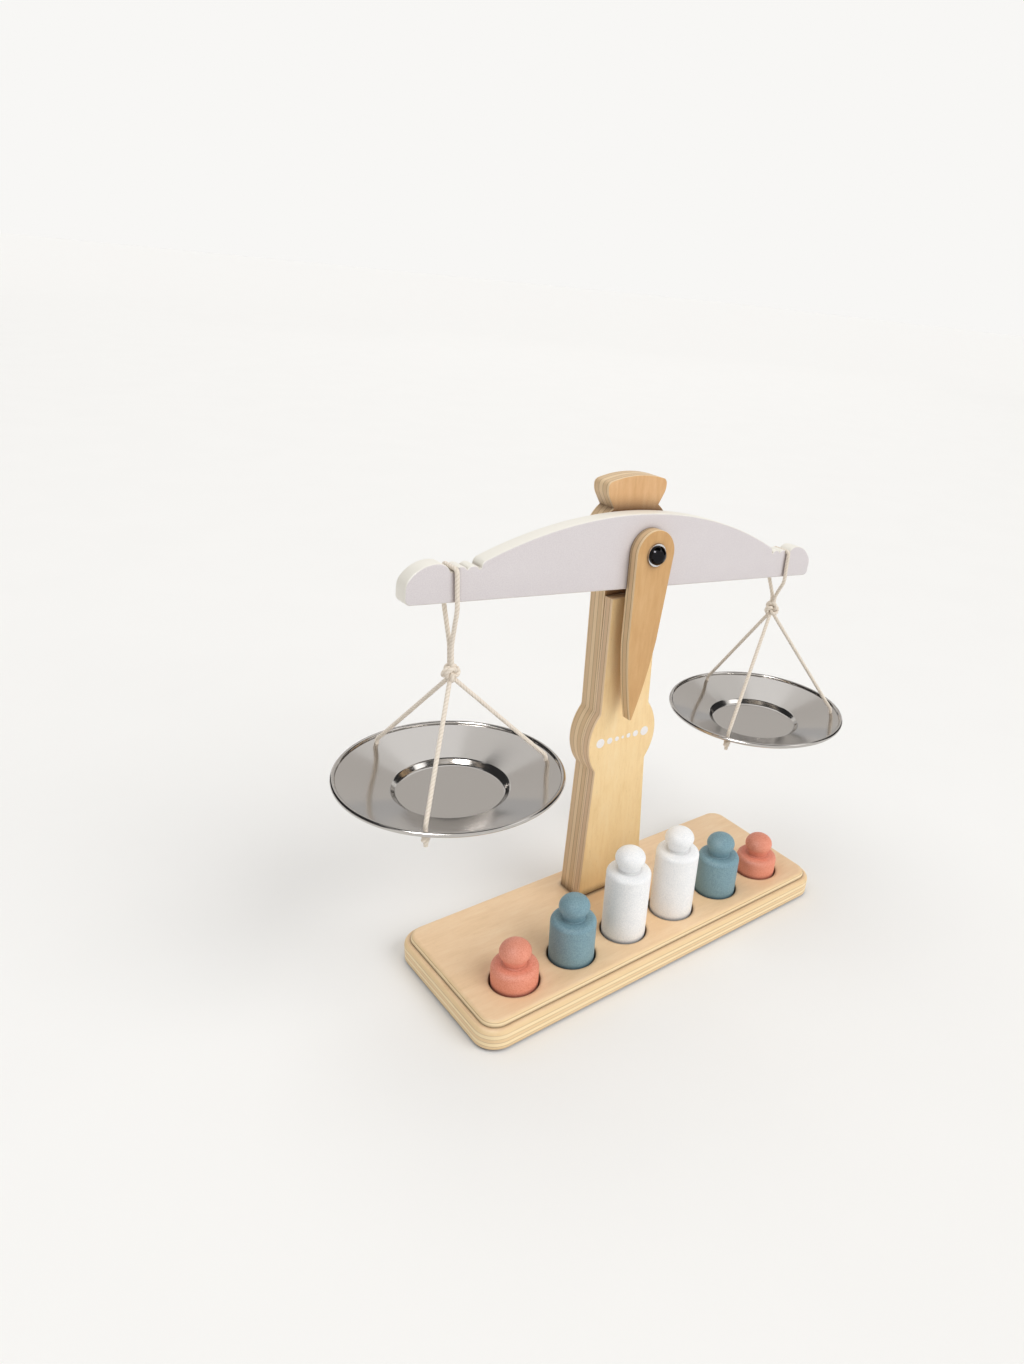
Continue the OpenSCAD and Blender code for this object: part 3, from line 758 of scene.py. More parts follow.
def inset(outline: np.ndarray, distance: float, least_spread: float = 0.35) -> np.ndarray:
    """Moves a closed outline inwards: each point goes against the sum of its two sides' outward directions.

    That sum is divided by one plus the cosine between them, so that both sides move by the same distance.

    Args:
        outline: The outline's points, anticlockwise.
        distance: How far its sides move in.
        least_spread: The least that the sum is divided by, which keeps the points of sharp corners near.

    Returns:
        The smaller outline.
    """
    along = np.roll(outline, -1, axis=0) - outline
    along /= np.linalg.norm(along, axis=1, keepdims=True)
    out_after = np.stack([along[:, 1], -along[:, 0]], axis=1)
    out_before = np.roll(out_after, 1, axis=0)
    spread = 1 + np.sum(out_after * out_before, axis=1, keepdims=True)
    return outline - (out_after + out_before) / np.maximum(spread, least_spread) * distance


# Meshes


def finish_piece(name: str, mesh: bpy.types.Mesh, material: bpy.types.Material, body: str, slot: str,
                 *nodes: str) -> None:
    """Puts a mesh into the scene as a piece of the toy.

    Args:
        name: The piece's name.
        mesh: Its mesh, already in place.
        material: Its finish.
        body: The body that it rides on.
        slot: Its material slot, which is not used.
        *nodes: The CAD nodes that it stands for.
    """
    mesh.materials.append(material)
    mesh.shade_smooth()
    mesh.set_sharp_from_angle(angle=SMOOTH_ANGLE)
    piece = bpy.data.objects.new(name, mesh)
    bpy.context.scene.collection.objects.link(piece)
    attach(piece, body)
    if nodes:
        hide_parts(*nodes)
    LOG.info("%s: %d faces on %s", name, len(mesh.polygons), body)


def grid_faces(rows: int, columns: int, offset: int = 0) -> np.ndarray:
    """Numbers the four-sided faces of a grid whose rows are closed rings.

    Args:
        rows: Number of rows of points.
        columns: Number of points in each row.
        offset: Number of the grid's first point.

    Returns:
        Four point numbers for each face.
    """
    row = np.arange(rows - 1)[:, None] * columns
    column = np.arange(columns)[None, :]
    after = (column + 1) % columns
    faces = np.stack([row + column, row + columns + column, row + columns + after, row + after], axis=-1)
    return faces.reshape(-1, 4) + offset


def fan_faces(tip: int, first: int, count: int) -> np.ndarray:
    """Numbers the triangles between a tip and a closed ring of points.

    Args:
        tip: Number of the tip.
        first: Number of the ring's first point.
        count: Number of points in the ring.

    Returns:
        Three point numbers for each triangle.
    """
    around = np.arange(count)
    return np.stack([np.full(count, tip), first + around, first + (around + 1) % count], axis=1)


def mesh_from(name: str, points: np.ndarray, faces: list) -> bpy.types.Mesh:
    """Makes a mesh from points in millimetres.

    Args:
        name: The mesh's name.
        points: One row for each point.
        faces: The point numbers of each face.

    Returns:
        The new mesh, in metres.
    """
    mesh = bpy.data.meshes.new(name)
    mesh.from_pydata((np.asarray(points) * MM).tolist(), [], faces)
    mesh.update()
    return mesh


def board_mesh(name: str, outline: np.ndarray, front: float, back: float, round_front: float,
               round_back: float, lean: Matrix | None = None, steps: int = 4) -> bpy.types.Mesh:
    """Cuts a board to an outline in X and Z, and rounds its front and back edges.

    The edge profile is a quarter round at each face: as its angle goes from 0 to 90 degrees, the inset falls
    as the radius times one minus the sine, and the depth grows as the radius times one minus the cosine.

    Args:
        name: The mesh's name.
        outline: The board's outline, anticlockwise seen from the front.
        front: Its front face's Y.
        back: Its back face's Y.
        round_front: Radius of the front edge.
        round_back: Radius of the back edge.
        lean: A turn and shift that puts the finished board in its place.
        steps: Steps in each rounding.

    Returns:
        The board's mesh.
    """
    angles = np.linspace(0, math.pi / 2, steps + 1)
    profile = [(round_front * (1 - math.sin(a)), front + round_front * (1 - math.cos(a))) for a in angles]
    profile += [(round_back * (1 - math.sin(a)), back - round_back * (1 - math.cos(a))) for a in angles[::-1]]
    rings = []
    for shrink, y in profile:
        flat = inset(outline, shrink)
        rings.append(np.stack([flat[:, 0], np.full(len(flat), y), flat[:, 1]], axis=1))
    points = np.concatenate(rings)
    count = len(outline)
    faces = grid_faces(len(profile), count).tolist()
    faces.append(list(range(count)))
    faces.append(list(range(len(points) - 1, len(points) - count - 1, -1)))
    if lean is not None:
        points = (np.c_[points, np.ones(len(points))] @ np.array(lean).T)[:, :3]
    return mesh_from(name, points, faces)


def turned_mesh(name: str, profile: np.ndarray, centre: np.ndarray, axis: Axis = Axis.Z,
                segments: int = 96) -> bpy.types.Mesh:
    """Turns a profile round an axis: each point circles it at its own radius and height.

    Args:
        name: The mesh's name.
        profile: Radius and height of each point, from one pole to the other, with outward to the right.
        centre: The point on the axis at which heights start.
        axis: The axis to turn about, Z upwards or Y towards the front.
        segments: Steps round the axis.

    Returns:
        The turned mesh, with its poles closed.
    """
    angles = np.linspace(0, 2 * math.pi, segments, endpoint=False)
    ring = np.stack([np.cos(angles), np.sin(angles)], axis=1)
    inner = profile[1:-1]
    flat = inner[:, None, 0, None] * ring[None, :, :]
    height = np.broadcast_to(inner[:, None, 1, None], (len(inner), segments, 1))
    rings = np.concatenate([flat, height], axis=2).reshape(-1, 3)
    points = np.concatenate([rings, [up(profile[0][1]), up(profile[-1][1])]])
    faces = grid_faces(len(inner), segments)[:, ::-1].tolist()
    faces += fan_faces(len(rings), 0, segments)[:, ::-1].tolist()
    faces += fan_faces(len(rings) + 1, len(rings) - segments, segments).tolist()
    if axis is Axis.Y:
        points = points[:, [0, 2, 1]] * np.array([1.0, -1.0, 1.0])
    return mesh_from(name, points + np.array(centre), faces)


def smooth_path(points: np.ndarray, step: float, fine_steps: int = 24) -> np.ndarray:
    """Runs a smooth line through route points, as a centripetal Catmull-Rom curve cut to even steps.

    Each stretch blends the straight lines through its four nearest points, and blends those again. The blend
    is timed by the square root of the distance between the points, so the line never loops at a close pair.

    Args:
        points: The route's points.
        step: Distance between the new points.
        fine_steps: Points worked out in each stretch before the line is cut evenly.

    Returns:
        Evenly spaced points along the curve.
    """
    points = np.asarray(points, float)
    ends = np.concatenate([[2 * points[0] - points[1]], points, [2 * points[-1] - points[-2]]])
    fine = []
    for a, b, c, d in zip(ends, ends[1:], ends[2:], ends[3:]):
        gaps = [math.sqrt(np.linalg.norm(q - p)) for p, q in ((a, b), (b, c), (c, d))]
        t0, t1, t2, t3 = np.cumsum([0.0] + gaps)
        t = np.linspace(t1, t2, fine_steps, endpoint=False)[:, None]
        ab = (t1 - t) / (t1 - t0) * a + (t - t0) / (t1 - t0) * b
        bc = (t2 - t) / (t2 - t1) * b + (t - t1) / (t2 - t1) * c
        cd = (t3 - t) / (t3 - t2) * c + (t - t2) / (t3 - t2) * d
        abc = (t2 - t) / (t2 - t0) * ab + (t - t0) / (t2 - t0) * bc
        bcd = (t3 - t) / (t3 - t1) * bc + (t - t1) / (t3 - t1) * cd
        fine.append((t2 - t) / (t2 - t1) * abc + (t - t1) / (t2 - t1) * bcd)
    fine = np.concatenate(fine + [points[-1:]])
    lengths = np.concatenate([[0.0], np.cumsum(np.linalg.norm(np.diff(fine, axis=0), axis=1))])
    places = np.linspace(0, lengths[-1], max(3, int(lengths[-1] / step) + 1))
    return np.stack([np.interp(places, lengths, fine[:, i]) for i in range(3)], axis=1)


def node_copy(node: str, name: str, material: bpy.types.Material, body: str, slot: str) -> None:
    """Copies a CAD node with its loose triangles joined, so that its round faces shade smoothly.

    Args:
        node: The CAD node, which the new piece stands for.
        name: The new piece's name.
        material: Its finish.
        body: The body that it rides on.
        slot: Its material slot.
    """
    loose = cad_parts[node].data
    places = np.zeros(len(loose.vertices) * 3, np.float32)
    loose.vertices.foreach_get("co", places)
    corners = np.zeros(len(loose.loops), np.int32)
    loose.loops.foreach_get("vertex_index", corners)
    cells = np.round(places.reshape(-1, 3) / (MM * WELD_MM)).astype(np.int64)
    joined, number = np.unique(cells, axis=0, return_inverse=True)
    triangles = number.reshape(-1)[corners].reshape(-1, 3)
    whole = np.all(triangles != np.roll(triangles, 1, axis=1), axis=1)
    mesh = mesh_from(name, joined * WELD_MM, triangles[whole].tolist())
    finish_piece(name, mesh, material, body, slot, node)


# Cord and knots


@dataclass(frozen=True)
class CordMaker:
    """Makes lengths of three-yarn twisted cord.

    Attributes:
        radius: Radius over the yarns' crowns.
        furrow: Depth of the furrows between yarns, as a share of the radius.
        lay: Length of cord in which a yarn goes once round.
        around: Points round the cord.
        step: Distance between its rings.
        end_share: Share of the radius that is left at a trimmed end.
        strand_turn: Turn of the yarns from one length of cord to the next, in degrees.
        stray: A direction that no cord takes, from which the first ring gets its sideways direction.
    """

    radius: float = 1.1
    furrow: float = 0.07
    lay: float = 6.0
    around: int = 24
    step: float = 0.36
    end_share: float = 0.55
    strand_turn: float = 67.0
    stray: tuple[float, float, float] = (0.31, 0.17, 0.93)

    def tube(self, path: np.ndarray, phase: float,
             offset: int) -> tuple[np.ndarray, list, np.ndarray, np.ndarray]:
        """Carries the cord's section along a path.

        The section's radius falls from each yarn's crown to the furrows as the absolute cosine of one and a
        half times the angle, and it turns evenly with the length. Frames are carried along without twist.

        Args:
            path: Evenly spaced points.
            phase: Turn of the yarns at the start, in degrees.
            offset: Number of the tube's first point in the mesh.

        Returns:
            Points, faces, U and V of each point, and the height of the yarn there from 0 to 1.
        """
        along = np.gradient(path, axis=0)
        along /= np.linalg.norm(along, axis=1, keepdims=True)
        side = np.zeros_like(path)
        start = np.cross(along[0], self.stray)
        side[0] = start / np.linalg.norm(start)
        for i in range(1, len(path)):
            carried = side[i - 1] - along[i] * (side[i - 1] @ along[i])
            side[i] = carried / np.linalg.norm(carried)
        other = np.cross(along, side)
        length = np.concatenate([[0.0], np.cumsum(np.linalg.norm(np.diff(path, axis=0), axis=1))])
        angle = np.linspace(0, 2 * math.pi, self.around, endpoint=False)[None, :]
        twist = (2 * math.pi * length / self.lay + math.radians(phase))[:, None]
        crown = np.abs(np.cos(1.5 * (angle - twist)))
        radius = self.radius * (1 - self.furrow * (1 - crown))
        radius[[0, -1]] *= self.end_share
        ring = np.cos(angle)[..., None] * side[:, None, :] + np.sin(angle)[..., None] * other[:, None, :]
        points = (path[:, None, :] + radius[..., None] * ring).reshape(-1, 3)
        first_end = offset + np.arange(self.around)
        last_end = first_end + len(points) - self.around
        faces = grid_faces(len(path), self.around, offset)[:, ::-1].tolist()
        faces += [first_end[::-1].tolist(), last_end.tolist()]
        uv = np.stack([np.broadcast_to(angle / (2 * math.pi), crown.shape),
                       np.broadcast_to(length[:, None] * MM, crown.shape)], axis=-1).reshape(-1, 2)
        return points, faces, uv, crown.reshape(-1)

    def mesh(self, name: str, paths: list[np.ndarray]) -> bpy.types.Mesh:
        """Makes one mesh of one or more lengths of cord.

        Args:
            name: The mesh's name.
            paths: The route of each length.

        Returns:
            The mesh, with its UV map and its crown attribute.
        """
        points, faces, uv, crown = [], [], [], []
        offset = 0
        for number, path in enumerate(paths):
            tube = self.tube(path, self.strand_turn * number, offset)
            points.append(tube[0])
            faces += tube[1]
            uv.append(tube[2])
            crown.append(tube[3])
            offset += len(tube[0])
        mesh = mesh_from(name, np.concatenate(points), faces)
        corners = np.zeros(len(mesh.loops), np.int32)
        mesh.loops.foreach_get("vertex_index", corners)
        along = np.concatenate(uv)[corners].astype(np.float32)
        mesh.uv_layers.new(name="along").data.foreach_set("uv", along.ravel())
        height = np.concatenate(crown).astype(np.float32)
        mesh.attributes.new("crown", "FLOAT", "POINT").data.foreach_set("value", height)
        return mesh


@dataclass(frozen=True)
class OverhandKnot:
    """A tight overhand knot, wound as a trefoil.

    The angle round the knot goes twice round while the distance from its middle rises and falls three times
    as ring plus lobe times the cosine, and the depth as the sine.

    Attributes:
        ring: Mean distance of the cord from the knot's middle.
        lobe: Rise and fall of that distance.
        depth: Rise and fall of the depth.
        shifts: Place in the depth of each strand, where the cord is doubled.
        route_points: Number of points on the route, whose last is its first.
    """

    ring: float
    lobe: float
    depth: float
    shifts: tuple[float, ...] = (0.0,)
    route_points: int = 46

    def paths(self, middle: np.ndarray, turn: float, tip: float, step: float) -> list[np.ndarray]:
        """Winds the knot.

        Args:
            middle: Its middle.
            turn: Turn of the knot about its own axis, in degrees.
            tip: Turn of its axis about the vertical, in degrees.
            step: Distance between the points.

        Returns:
            The route of each strand.
        """
        t = np.linspace(0, 2 * math.pi, self.route_points)
        away = self.ring + self.lobe * np.cos(3 * t)
        angle = 2 * t + math.radians(turn)
        deep = self.depth * np.sin(3 * t)
        about = np.array(Matrix.Rotation(math.radians(tip), 3, "Z"))
        strands = [np.stack([away * np.cos(angle), deep + shift, away * np.sin(angle)], axis=1)
                   for shift in self.shifts]
        return [smooth_path(strand @ about.T + middle, step) for strand in strands]


# The toy's own assemblies


@dataclass
class Stand:
    """The base board and the upright of two glued boards.

    Attributes:
        front: Y of the upright's front face.
        split: Y of the glue line between the two boards.
        back: Y of the upright's back face.
        base_h: Thickness of the base.
        foot_w: Width of the column at its foot.
        lower_neck_w: Its width just below the bulge.
        upper_neck_w: Its width just above the bulge.
        ledge_w: Its width at the ledge under the beam.
        ledge_z: Height of that ledge.
        bulge_w: Width over the bulge.
        bulge_z: Height of the bulge's middle.
        bulge_l: Length of the bulge along the column.
        bulge_blend_r: Rounding where the bulge meets the column.
        pivot_z: Height of the pivot.
        boss_r: Radius of the round boss behind the beam.
        crown_neck_w: Width of the neck between boss and crown.
        crown_w: Width of the crown.
        crown_h: Height of the crown above its neck.
        crown_arch_r: Radius of its arched top.
        crown_corner_r: Rounding of its upper corners.
        crown_side_h: Height of its upright sides.
        crown_side_r: Rounding below those sides.
        edge_r: Rounding of the boards' open edges.
        rear_glued_r: Rounding of the rear board's glued edge.
        front_glued_r: Rounding of the front board's glued edge.
        dots: Distance from the middle and radius of the painted marks, from the middle one outwards.
        dot_dome: Share of a mark's radius and the paint's height there, from its rim inwards.
        dot_sides: Points round a mark.
    """

    front: float = 14.9
    split: float = 20.9
    back: float = 33.3
    base_h: float = BASE_TOP
    foot_w: float = 48.0
    lower_neck_w: float = 37.6
    upper_neck_w: float = 35.2
    ledge_w: float = 32.4
    ledge_z: float = 205.47
    bulge_w: float = 49.0
    bulge_z: float = 120.8
    bulge_l: float = 36.0
    bulge_blend_r: float = 3.0
    pivot_z: float = PIVOT_Z
    boss_r: float = 25.3
    crown_neck_w: float = 30.0
    crown_w: float = 38.8
    crown_h: float = 15.6
    crown_arch_r: float = 66.0
    crown_corner_r: float = 3.0
    crown_side_h: float = 5.2
    crown_side_r: float = 8.0
    edge_r: float = 0.9
    rear_glued_r: float = 0.3
    front_glued_r: float = 0.15
    dots: tuple = ((0.0, 0.95), (4.3, 1.45), (9.5, 1.95), (16.2, 2.85))
    dot_dome: tuple = ((1.0, 0.0), (0.97, 0.05), (0.8, 0.07), (0.4, 0.08))
    dot_sides: int = 40

    def column(self) -> list[tuple[float, float, float]]:
        """Gives the corners of the column's right side, whose bulge is the arc through three known points.

        Returns:
            Each corner's x, z and rounding, from the foot to the upper neck.
        """
        low = np.array([self.lower_neck_w / 2, self.bulge_z - self.bulge_l / 2])
        high = np.array([self.upper_neck_w / 2, self.bulge_z + self.bulge_l / 2])
        bulge = arc_through(low, np.array([self.bulge_w / 2, self.bulge_z]), high)
        blend = [self.bulge_blend_r] + [0.0] * (len(bulge) - 2) + [self.bulge_blend_r]
        return [(self.foot_w / 2, self.base_h, 0.0)] + [(x, z, r) for (x, z), r in zip(bulge, blend)]

    def front_outline(self) -> np.ndarray:
        """Gives the front board's outline, up to the ledge under the beam."""
        return mirrored(rounded(self.column() + [(self.ledge_w / 2, self.ledge_z, 0.0)]))

    def back_outline(self) -> np.ndarray:
        """Gives the rear board's outline, with its boss, its crown and the crown's arched top.

        The column's side runs on in a straight line until it meets the boss, at the height where the boss's
        circle has the column's half width. The crown's arch starts where its corner's rounding ends.

        Returns:
            The outline's points, anticlockwise.
        """
        slope = (self.ledge_w - self.upper_neck_w) / 2 / (self.pivot_z - self.bulge_z - self.bulge_l / 2)
        # The height is worked out for the ledge's width first, and then for the side's own width there
        top_z = self.pivot_z - math.sqrt(self.boss_r ** 2 - (self.ledge_w / 2) ** 2)
        top_x = self.ledge_w / 2 + slope * (top_z - self.pivot_z)
        top_z = self.pivot_z - math.sqrt(self.boss_r ** 2 - top_x ** 2)
        boss_start = math.degrees(math.atan2(top_z - self.pivot_z, top_x))
        boss_end = math.degrees(math.acos(self.crown_neck_w / 2 / self.boss_r))
        boss = arc((0.0, self.pivot_z), self.boss_r, boss_start, boss_end, steps=26)
        neck_z = float(boss[-1][1])
        arch_z = neck_z + self.crown_h - self.crown_arch_r
        half_w = self.crown_w / 2
        corner_z = arch_z + math.sqrt(self.crown_arch_r ** 2 - half_w ** 2)
        arch_start = math.degrees(math.atan2(corner_z - arch_z, half_w))
        arch_start += math.degrees(math.asin(self.crown_corner_r / self.crown_arch_r))
        arch = arc((0.0, arch_z), self.crown_arch_r, arch_start, 90.0, steps=14)
        crown = rounded([
            (self.crown_neck_w / 2, neck_z, 0.0),
            (half_w, corner_z - self.crown_side_h, self.crown_side_r),
            (half_w, corner_z, self.crown_corner_r),
            (float(arch[0][0]), float(arch[0][1]), 0.0),
        ])
        column = rounded(self.column() + [(float(boss[0][0]), float(boss[0][1]), 0.0)])
        return mirrored(np.concatenate([column, boss[1:-1], crown, arch[1:]]))

    def build(self) -> None:
        """Makes the base, both boards of the upright, its painted marks and the hidden screws."""
        base_wood = Plywood(
            "birch_plywood_base", Axis.Z, Axis.X, first_mm=0.0, ply_mm=2.36, tint="#f2d0a7", dark="#eac79b",
            pale="#f7dab4", edge_pale="#fae3b9", edge_mid="#eccc9c", glue="#9a7049",
        ).build()
        node_copy("base_board", "base_board_wood", base_wood, "stand", "natural_plywood")
        # The rear board's painted shade reaches 9 mm, into the groove beside the front board
        rear_wood = Plywood(
            "birch_plywood_rear_board", Axis.Y, Axis.Z, first_mm=self.split, ply_mm=3.1, tint="#dbad7b",
            dark="#d09f6a", pale="#e4ba8a", edge_pale="#e6caa2", edge_mid="#d5b58c", shade_reach_mm=9.0,
        ).build()
        rear = board_mesh("upright_back_wood", self.back_outline(), self.split, self.back, self.rear_glued_r,
                          self.edge_r)
        finish_piece("upright_back_wood", rear, rear_wood, "stand", "natural_plywood", "upright_back")
        # The front board's painted shade reaches 6.5 mm, which paints the pointer's shadow on it
        front_wood = Plywood(
            "birch_plywood_front_board", Axis.Y, Axis.Z, first_mm=self.front, ply_mm=3.0, tint="#f7d8a3",
            dark="#eecb93", pale="#fadfb0", edge_pale="#e6c9a5", edge_mid="#d6b590", shade_reach_mm=6.5,
        ).build()
        front = board_mesh("upright_front_wood", self.front_outline(), self.front, self.split, self.edge_r,
                           self.front_glued_r)
        finish_piece("upright_front_wood", front, front_wood, "stand", "natural_plywood", "upright_front")
        self.build_dots()
        zinc = PlatedSteel("zinc_plated_screw_steel", "#b9bbc0", 0.3).build()
        node_copy("base_screws", "base_screws_steel", zinc, "stand", "zinc_steel")

    def build_dots(self) -> None:
        """Paints the row of marks that the pointer shows: low domes of paint, largest at the ends."""
        # Its third colour is the painted shade in the marks' crevices
        paint = PaintedWood("white_screen_paint", "#f4f0ef", "#ece8e7", "#cfc3b6", 0.5).build()
        angles = np.linspace(0, 2 * math.pi, self.dot_sides, endpoint=False)
        circle = np.stack([np.cos(angles), np.zeros_like(angles), np.sin(angles)], axis=1)
        places = [(side * away, radius) for away, radius in self.dots for side in ((1, -1) if away else (1,))]
        points, faces = [], []
        for x, radius in places:
            middle = np.array([x, self.front, self.bulge_z])
            offset = sum(len(ring) for ring in points)
            points += [middle + circle * radius * share - [0.0, rise, 0.0] for share, rise in self.dot_dome]
            points.append((middle - [0.0, self.dot_dome[-1][1], 0.0])[None])
            tip = offset + len(self.dot_dome) * self.dot_sides
            faces += grid_faces(len(self.dot_dome), self.dot_sides, offset)[:, ::-1].tolist()
            faces += fan_faces(tip, tip - self.dot_sides, self.dot_sides).tolist()
            faces.append(list(range(offset + self.dot_sides - 1, offset - 1, -1)))
        mesh = mesh_from("pointer_marks", np.concatenate(points), faces)
        finish_piece("pointer_marks", mesh, paint, "stand", "white_paint")


@dataclass
class Pivot:
    """The bolt, its washers, the spacer and the domed nut.

    Attributes:
        z: Height of the pivot.
        nut_back: Y of the nut's back face.
        nut_r: Radius of the nut.
        foot_in: How far the bevel at the nut's foot goes in.
        foot_up: How far it goes up.
        skirt: Height of its straight skirt.
        dome: Height of its dome above the skirt.
    """

    z: float = PIVOT_Z
    nut_back: float = 1.6
    nut_r: float = 5.0
    foot_in: float = 0.2
    foot_up: float = 0.15
    skirt: float = 0.9
    dome: float = 3.4

    def nut_profile(self) -> np.ndarray:
        """Draws the nut's section: flat back, bevel, skirt and dome.

        The dome is part of a ball whose radius is the nut's squared plus the dome's height squared, over
        twice that height.

        Returns:
            Radius and height of each point, from the back's middle to the dome's.
        """
        ball_r = (self.nut_r ** 2 + self.dome ** 2) / (2 * self.dome)
        spread = math.degrees(math.asin(self.nut_r / ball_r))
        cap = arc((0.0, self.skirt + self.dome - ball_r), ball_r, 90 - spread, 90, steps=20)
        cap[-1, 0] = 0.0
        foot = [[0.0, 0.0], [self.nut_r - self.foot_in, 0.0], [self.nut_r, self.foot_up]]
        return np.concatenate([foot, cap])

    def build(self) -> None:
        """Makes the nut finely and gives the other pieces their finishes."""
        # The chrome nut is given a near-black colour, a painted dark reflection of the room in front of it
        nut_dark_reflection = PlatedSteel("nut_steel_painted_dark_reflection", "#262527", 0.04).build()
        zinc = PlatedSteel("zinc_plated_steel", "#c3c5c9", 0.25).build()
        bright = PlatedSteel("nickel_plated_washer_steel", "#d8d8da", 0.12).build()
        nut = turned_mesh("cap_nut_chrome", self.nut_profile(), (0.0, self.nut_back, self.z), Axis.Y,
                          segments=64)
        finish_piece("cap_nut_chrome", nut, nut_dark_reflection, "stand", "polished_steel", "cap_nut")
        node_copy("front_washer", "front_washer_steel", bright, "stand", "polished_steel")
        node_copy("rear_washer", "rear_washer_steel", zinc, "stand", "zinc_steel")
        node_copy("pivot_bolt", "pivot_bolt_steel", zinc, "stand", "zinc_steel")
        node_copy("pivot_spacer", "pivot_spacer_nylon", Nylon().build(), "stand", "nylon")


@dataclass
class BeamArm:
    """The painted beam and the pointer on its front.

    Heights on the beam are counted from the pivot, and its notches from its ends.

    Attributes:
        pivot_z: Height of the pivot.
        lean: Degrees that the stored pose leans, right end down.
        front: Y of the beam's front face.
        back: Y of its back face.
        pointer_front: Y of the pointer's front face.
        length: Length of the beam.
        drop: How far its underside lies below the pivot.
        rise: How far its arch rises above the pivot.
        arch_end_drop: How far the arch's ends lie below the pivot.
        notch_inset: Distance from the beam's end to the cord notch.
        notch_drop: How far the notch's floor lies below the pivot.
        lobe_drop: How far the end lobe's crest lies below the pivot.
        lobe_inner_r: Radius of the lobe beside the notch.
        lobe_fall: How far the crest falls towards the beam's end.
        lobe_outer_r: Radius of the lobe at the beam's end.
        corner_r: Rounding of the lower corner.
        bump_pitch: Spacing of the small bumps.
        bump_r: Radius of a bump.
        bump_drop: How far a bump's top lies below the pivot.
        groove_r: Radius of the groove that the cord lies in.
        edge_r: Rounding of the beam's edges.
        head_w: Width of the pointer's head.
        mid_w: Width of the pointer at its middle.
        mid_drop: How far that middle lies below the pivot.
        pointer_l: How far the tip lies below the pivot.
        swell: How far the lower half's sides swell.
        tip_r: Half width of the tip.
        pointer_edge_r: Rounding of the pointer's front edge.
        pointer_back_r: Rounding of its back edge.
    """

    pivot_z: float = PIVOT_Z
    lean: float = 4.0
    front: float = 8.9
    back: float = 17.9
    pointer_front: float = 2.5
    length: float = 270.0
    drop: float = 19.2
    rise: float = 19.4
    arch_end_drop: float = 0.6
    notch_inset: float = 23.5
    notch_drop: float = 5.2
    lobe_drop: float = 1.1
    lobe_inner_r: float = 7.0
    lobe_fall: float = 3.8
    lobe_outer_r: float = 7.5
    corner_r: float = 3.0
    bump_pitch: float = 6.2
    bump_r: float = 3.7
    bump_drop: float = 2.8
    groove_r: float = 1.4
    edge_r: float = 0.8
    head_w: float = 25.2
    mid_w: float = 19.6
    mid_drop: float = 47.0
    pointer_l: float = 92.5
    swell: float = 1.0
    tip_r: float = 0.5
    pointer_edge_r: float = 0.45
    pointer_back_r: float = 0.2

    def place(self) -> Matrix:
        """Gives the turn and shift from the beam's own frame to the toy's, in millimetres."""
        turn = Matrix.Rotation(math.radians(self.lean), 4, Vector((0.0, 1.0, 0.0)))
        return Matrix.Translation((0.0, 0.0, self.pivot_z)) @ turn

    def notch(self, side: Side) -> np.ndarray:
        """Finds where an arm's cord crosses the beam: at the groove's centre, half way through the board.

        Args:
            side: Which arm.

        Returns:
            The place in the toy's own frame.
        """
        sign = 1 if side is Side.RIGHT else -1
        along = sign * (self.length / 2 - self.notch_inset)
        middle = (self.front + self.back) / 2
        return np.array(self.place() @ Vector((along, middle, self.groove_r - self.notch_drop)))

    def beam_outline(self) -> np.ndarray:
        """Gives the beam's outline about the pivot: arch, two bumps, cord groove, end lobe and underside.

        The arch ends two and a half bump spacings before the notch. Its radius is its half length squared
        plus its rise squared, over twice the rise. Two neighbouring bumps meet at the angle whose sine is
        half their spacing over their radius. The last bump meets the groove where their circles cross. The
        crest's large circle touches both of the lobe's small ones.

        Returns:
            The outline's points, anticlockwise.
        """
        notch_x = self.length / 2 - self.notch_inset
        arch_x = notch_x - 2.5 * self.bump_pitch
        rise = self.rise + self.arch_end_drop
        arch_r = (arch_x ** 2 + rise ** 2) / (2 * rise)
        arch_angle = 90 - math.degrees(math.asin(arch_x / arch_r))
        tangent = math.radians(arch_angle)
        arch_end = (arch_x - self.bump_r * math.cos(tangent),
                    -self.arch_end_drop - self.bump_r * math.sin(tangent))

        bump_z = -self.bump_drop - self.bump_r
        bump_side = math.degrees(math.asin(self.bump_pitch / 2 / self.bump_r))
        first, second = ((notch_x - pitches * self.bump_pitch, bump_z) for pitches in (1.5, 0.5))

        groove = (notch_x, -self.notch_drop + self.groove_r)
        way = np.array(groove) - np.array(second)
        reach = float(np.linalg.norm(way))
        meet = math.atan2(way[1], way[0]) + math.acos(
            (reach ** 2 + self.bump_r ** 2 - self.groove_r ** 2) / (2 * reach * self.bump_r))
        meeting = np.array(second) + self.bump_r * np.array([math.cos(meet), math.sin(meet)])
        groove_angle = math.degrees(math.atan2(*(meeting - np.array(groove))[::-1]))

        inner = (notch_x + self.groove_r + self.lobe_inner_r, -self.lobe_drop - self.lobe_inner_r)
        inner_angle = 180 - math.degrees(math.asin((-self.notch_drop - inner[1]) / self.lobe_inner_r))
        outer = (self.length / 2 - self.lobe_outer_r, -self.lobe_drop - self.lobe_fall - self.lobe_outer_r)
        run = outer[0] - inner[0]
        crest_r = self.lobe_outer_r + (run ** 2 + self.lobe_fall ** 2) / (2 * self.lobe_fall)
        crest_end = 90 - math.degrees(math.asin(run / (crest_r - self.lobe_outer_r)))
        corner = (self.length / 2 - self.corner_r, -self.drop + self.corner_r)

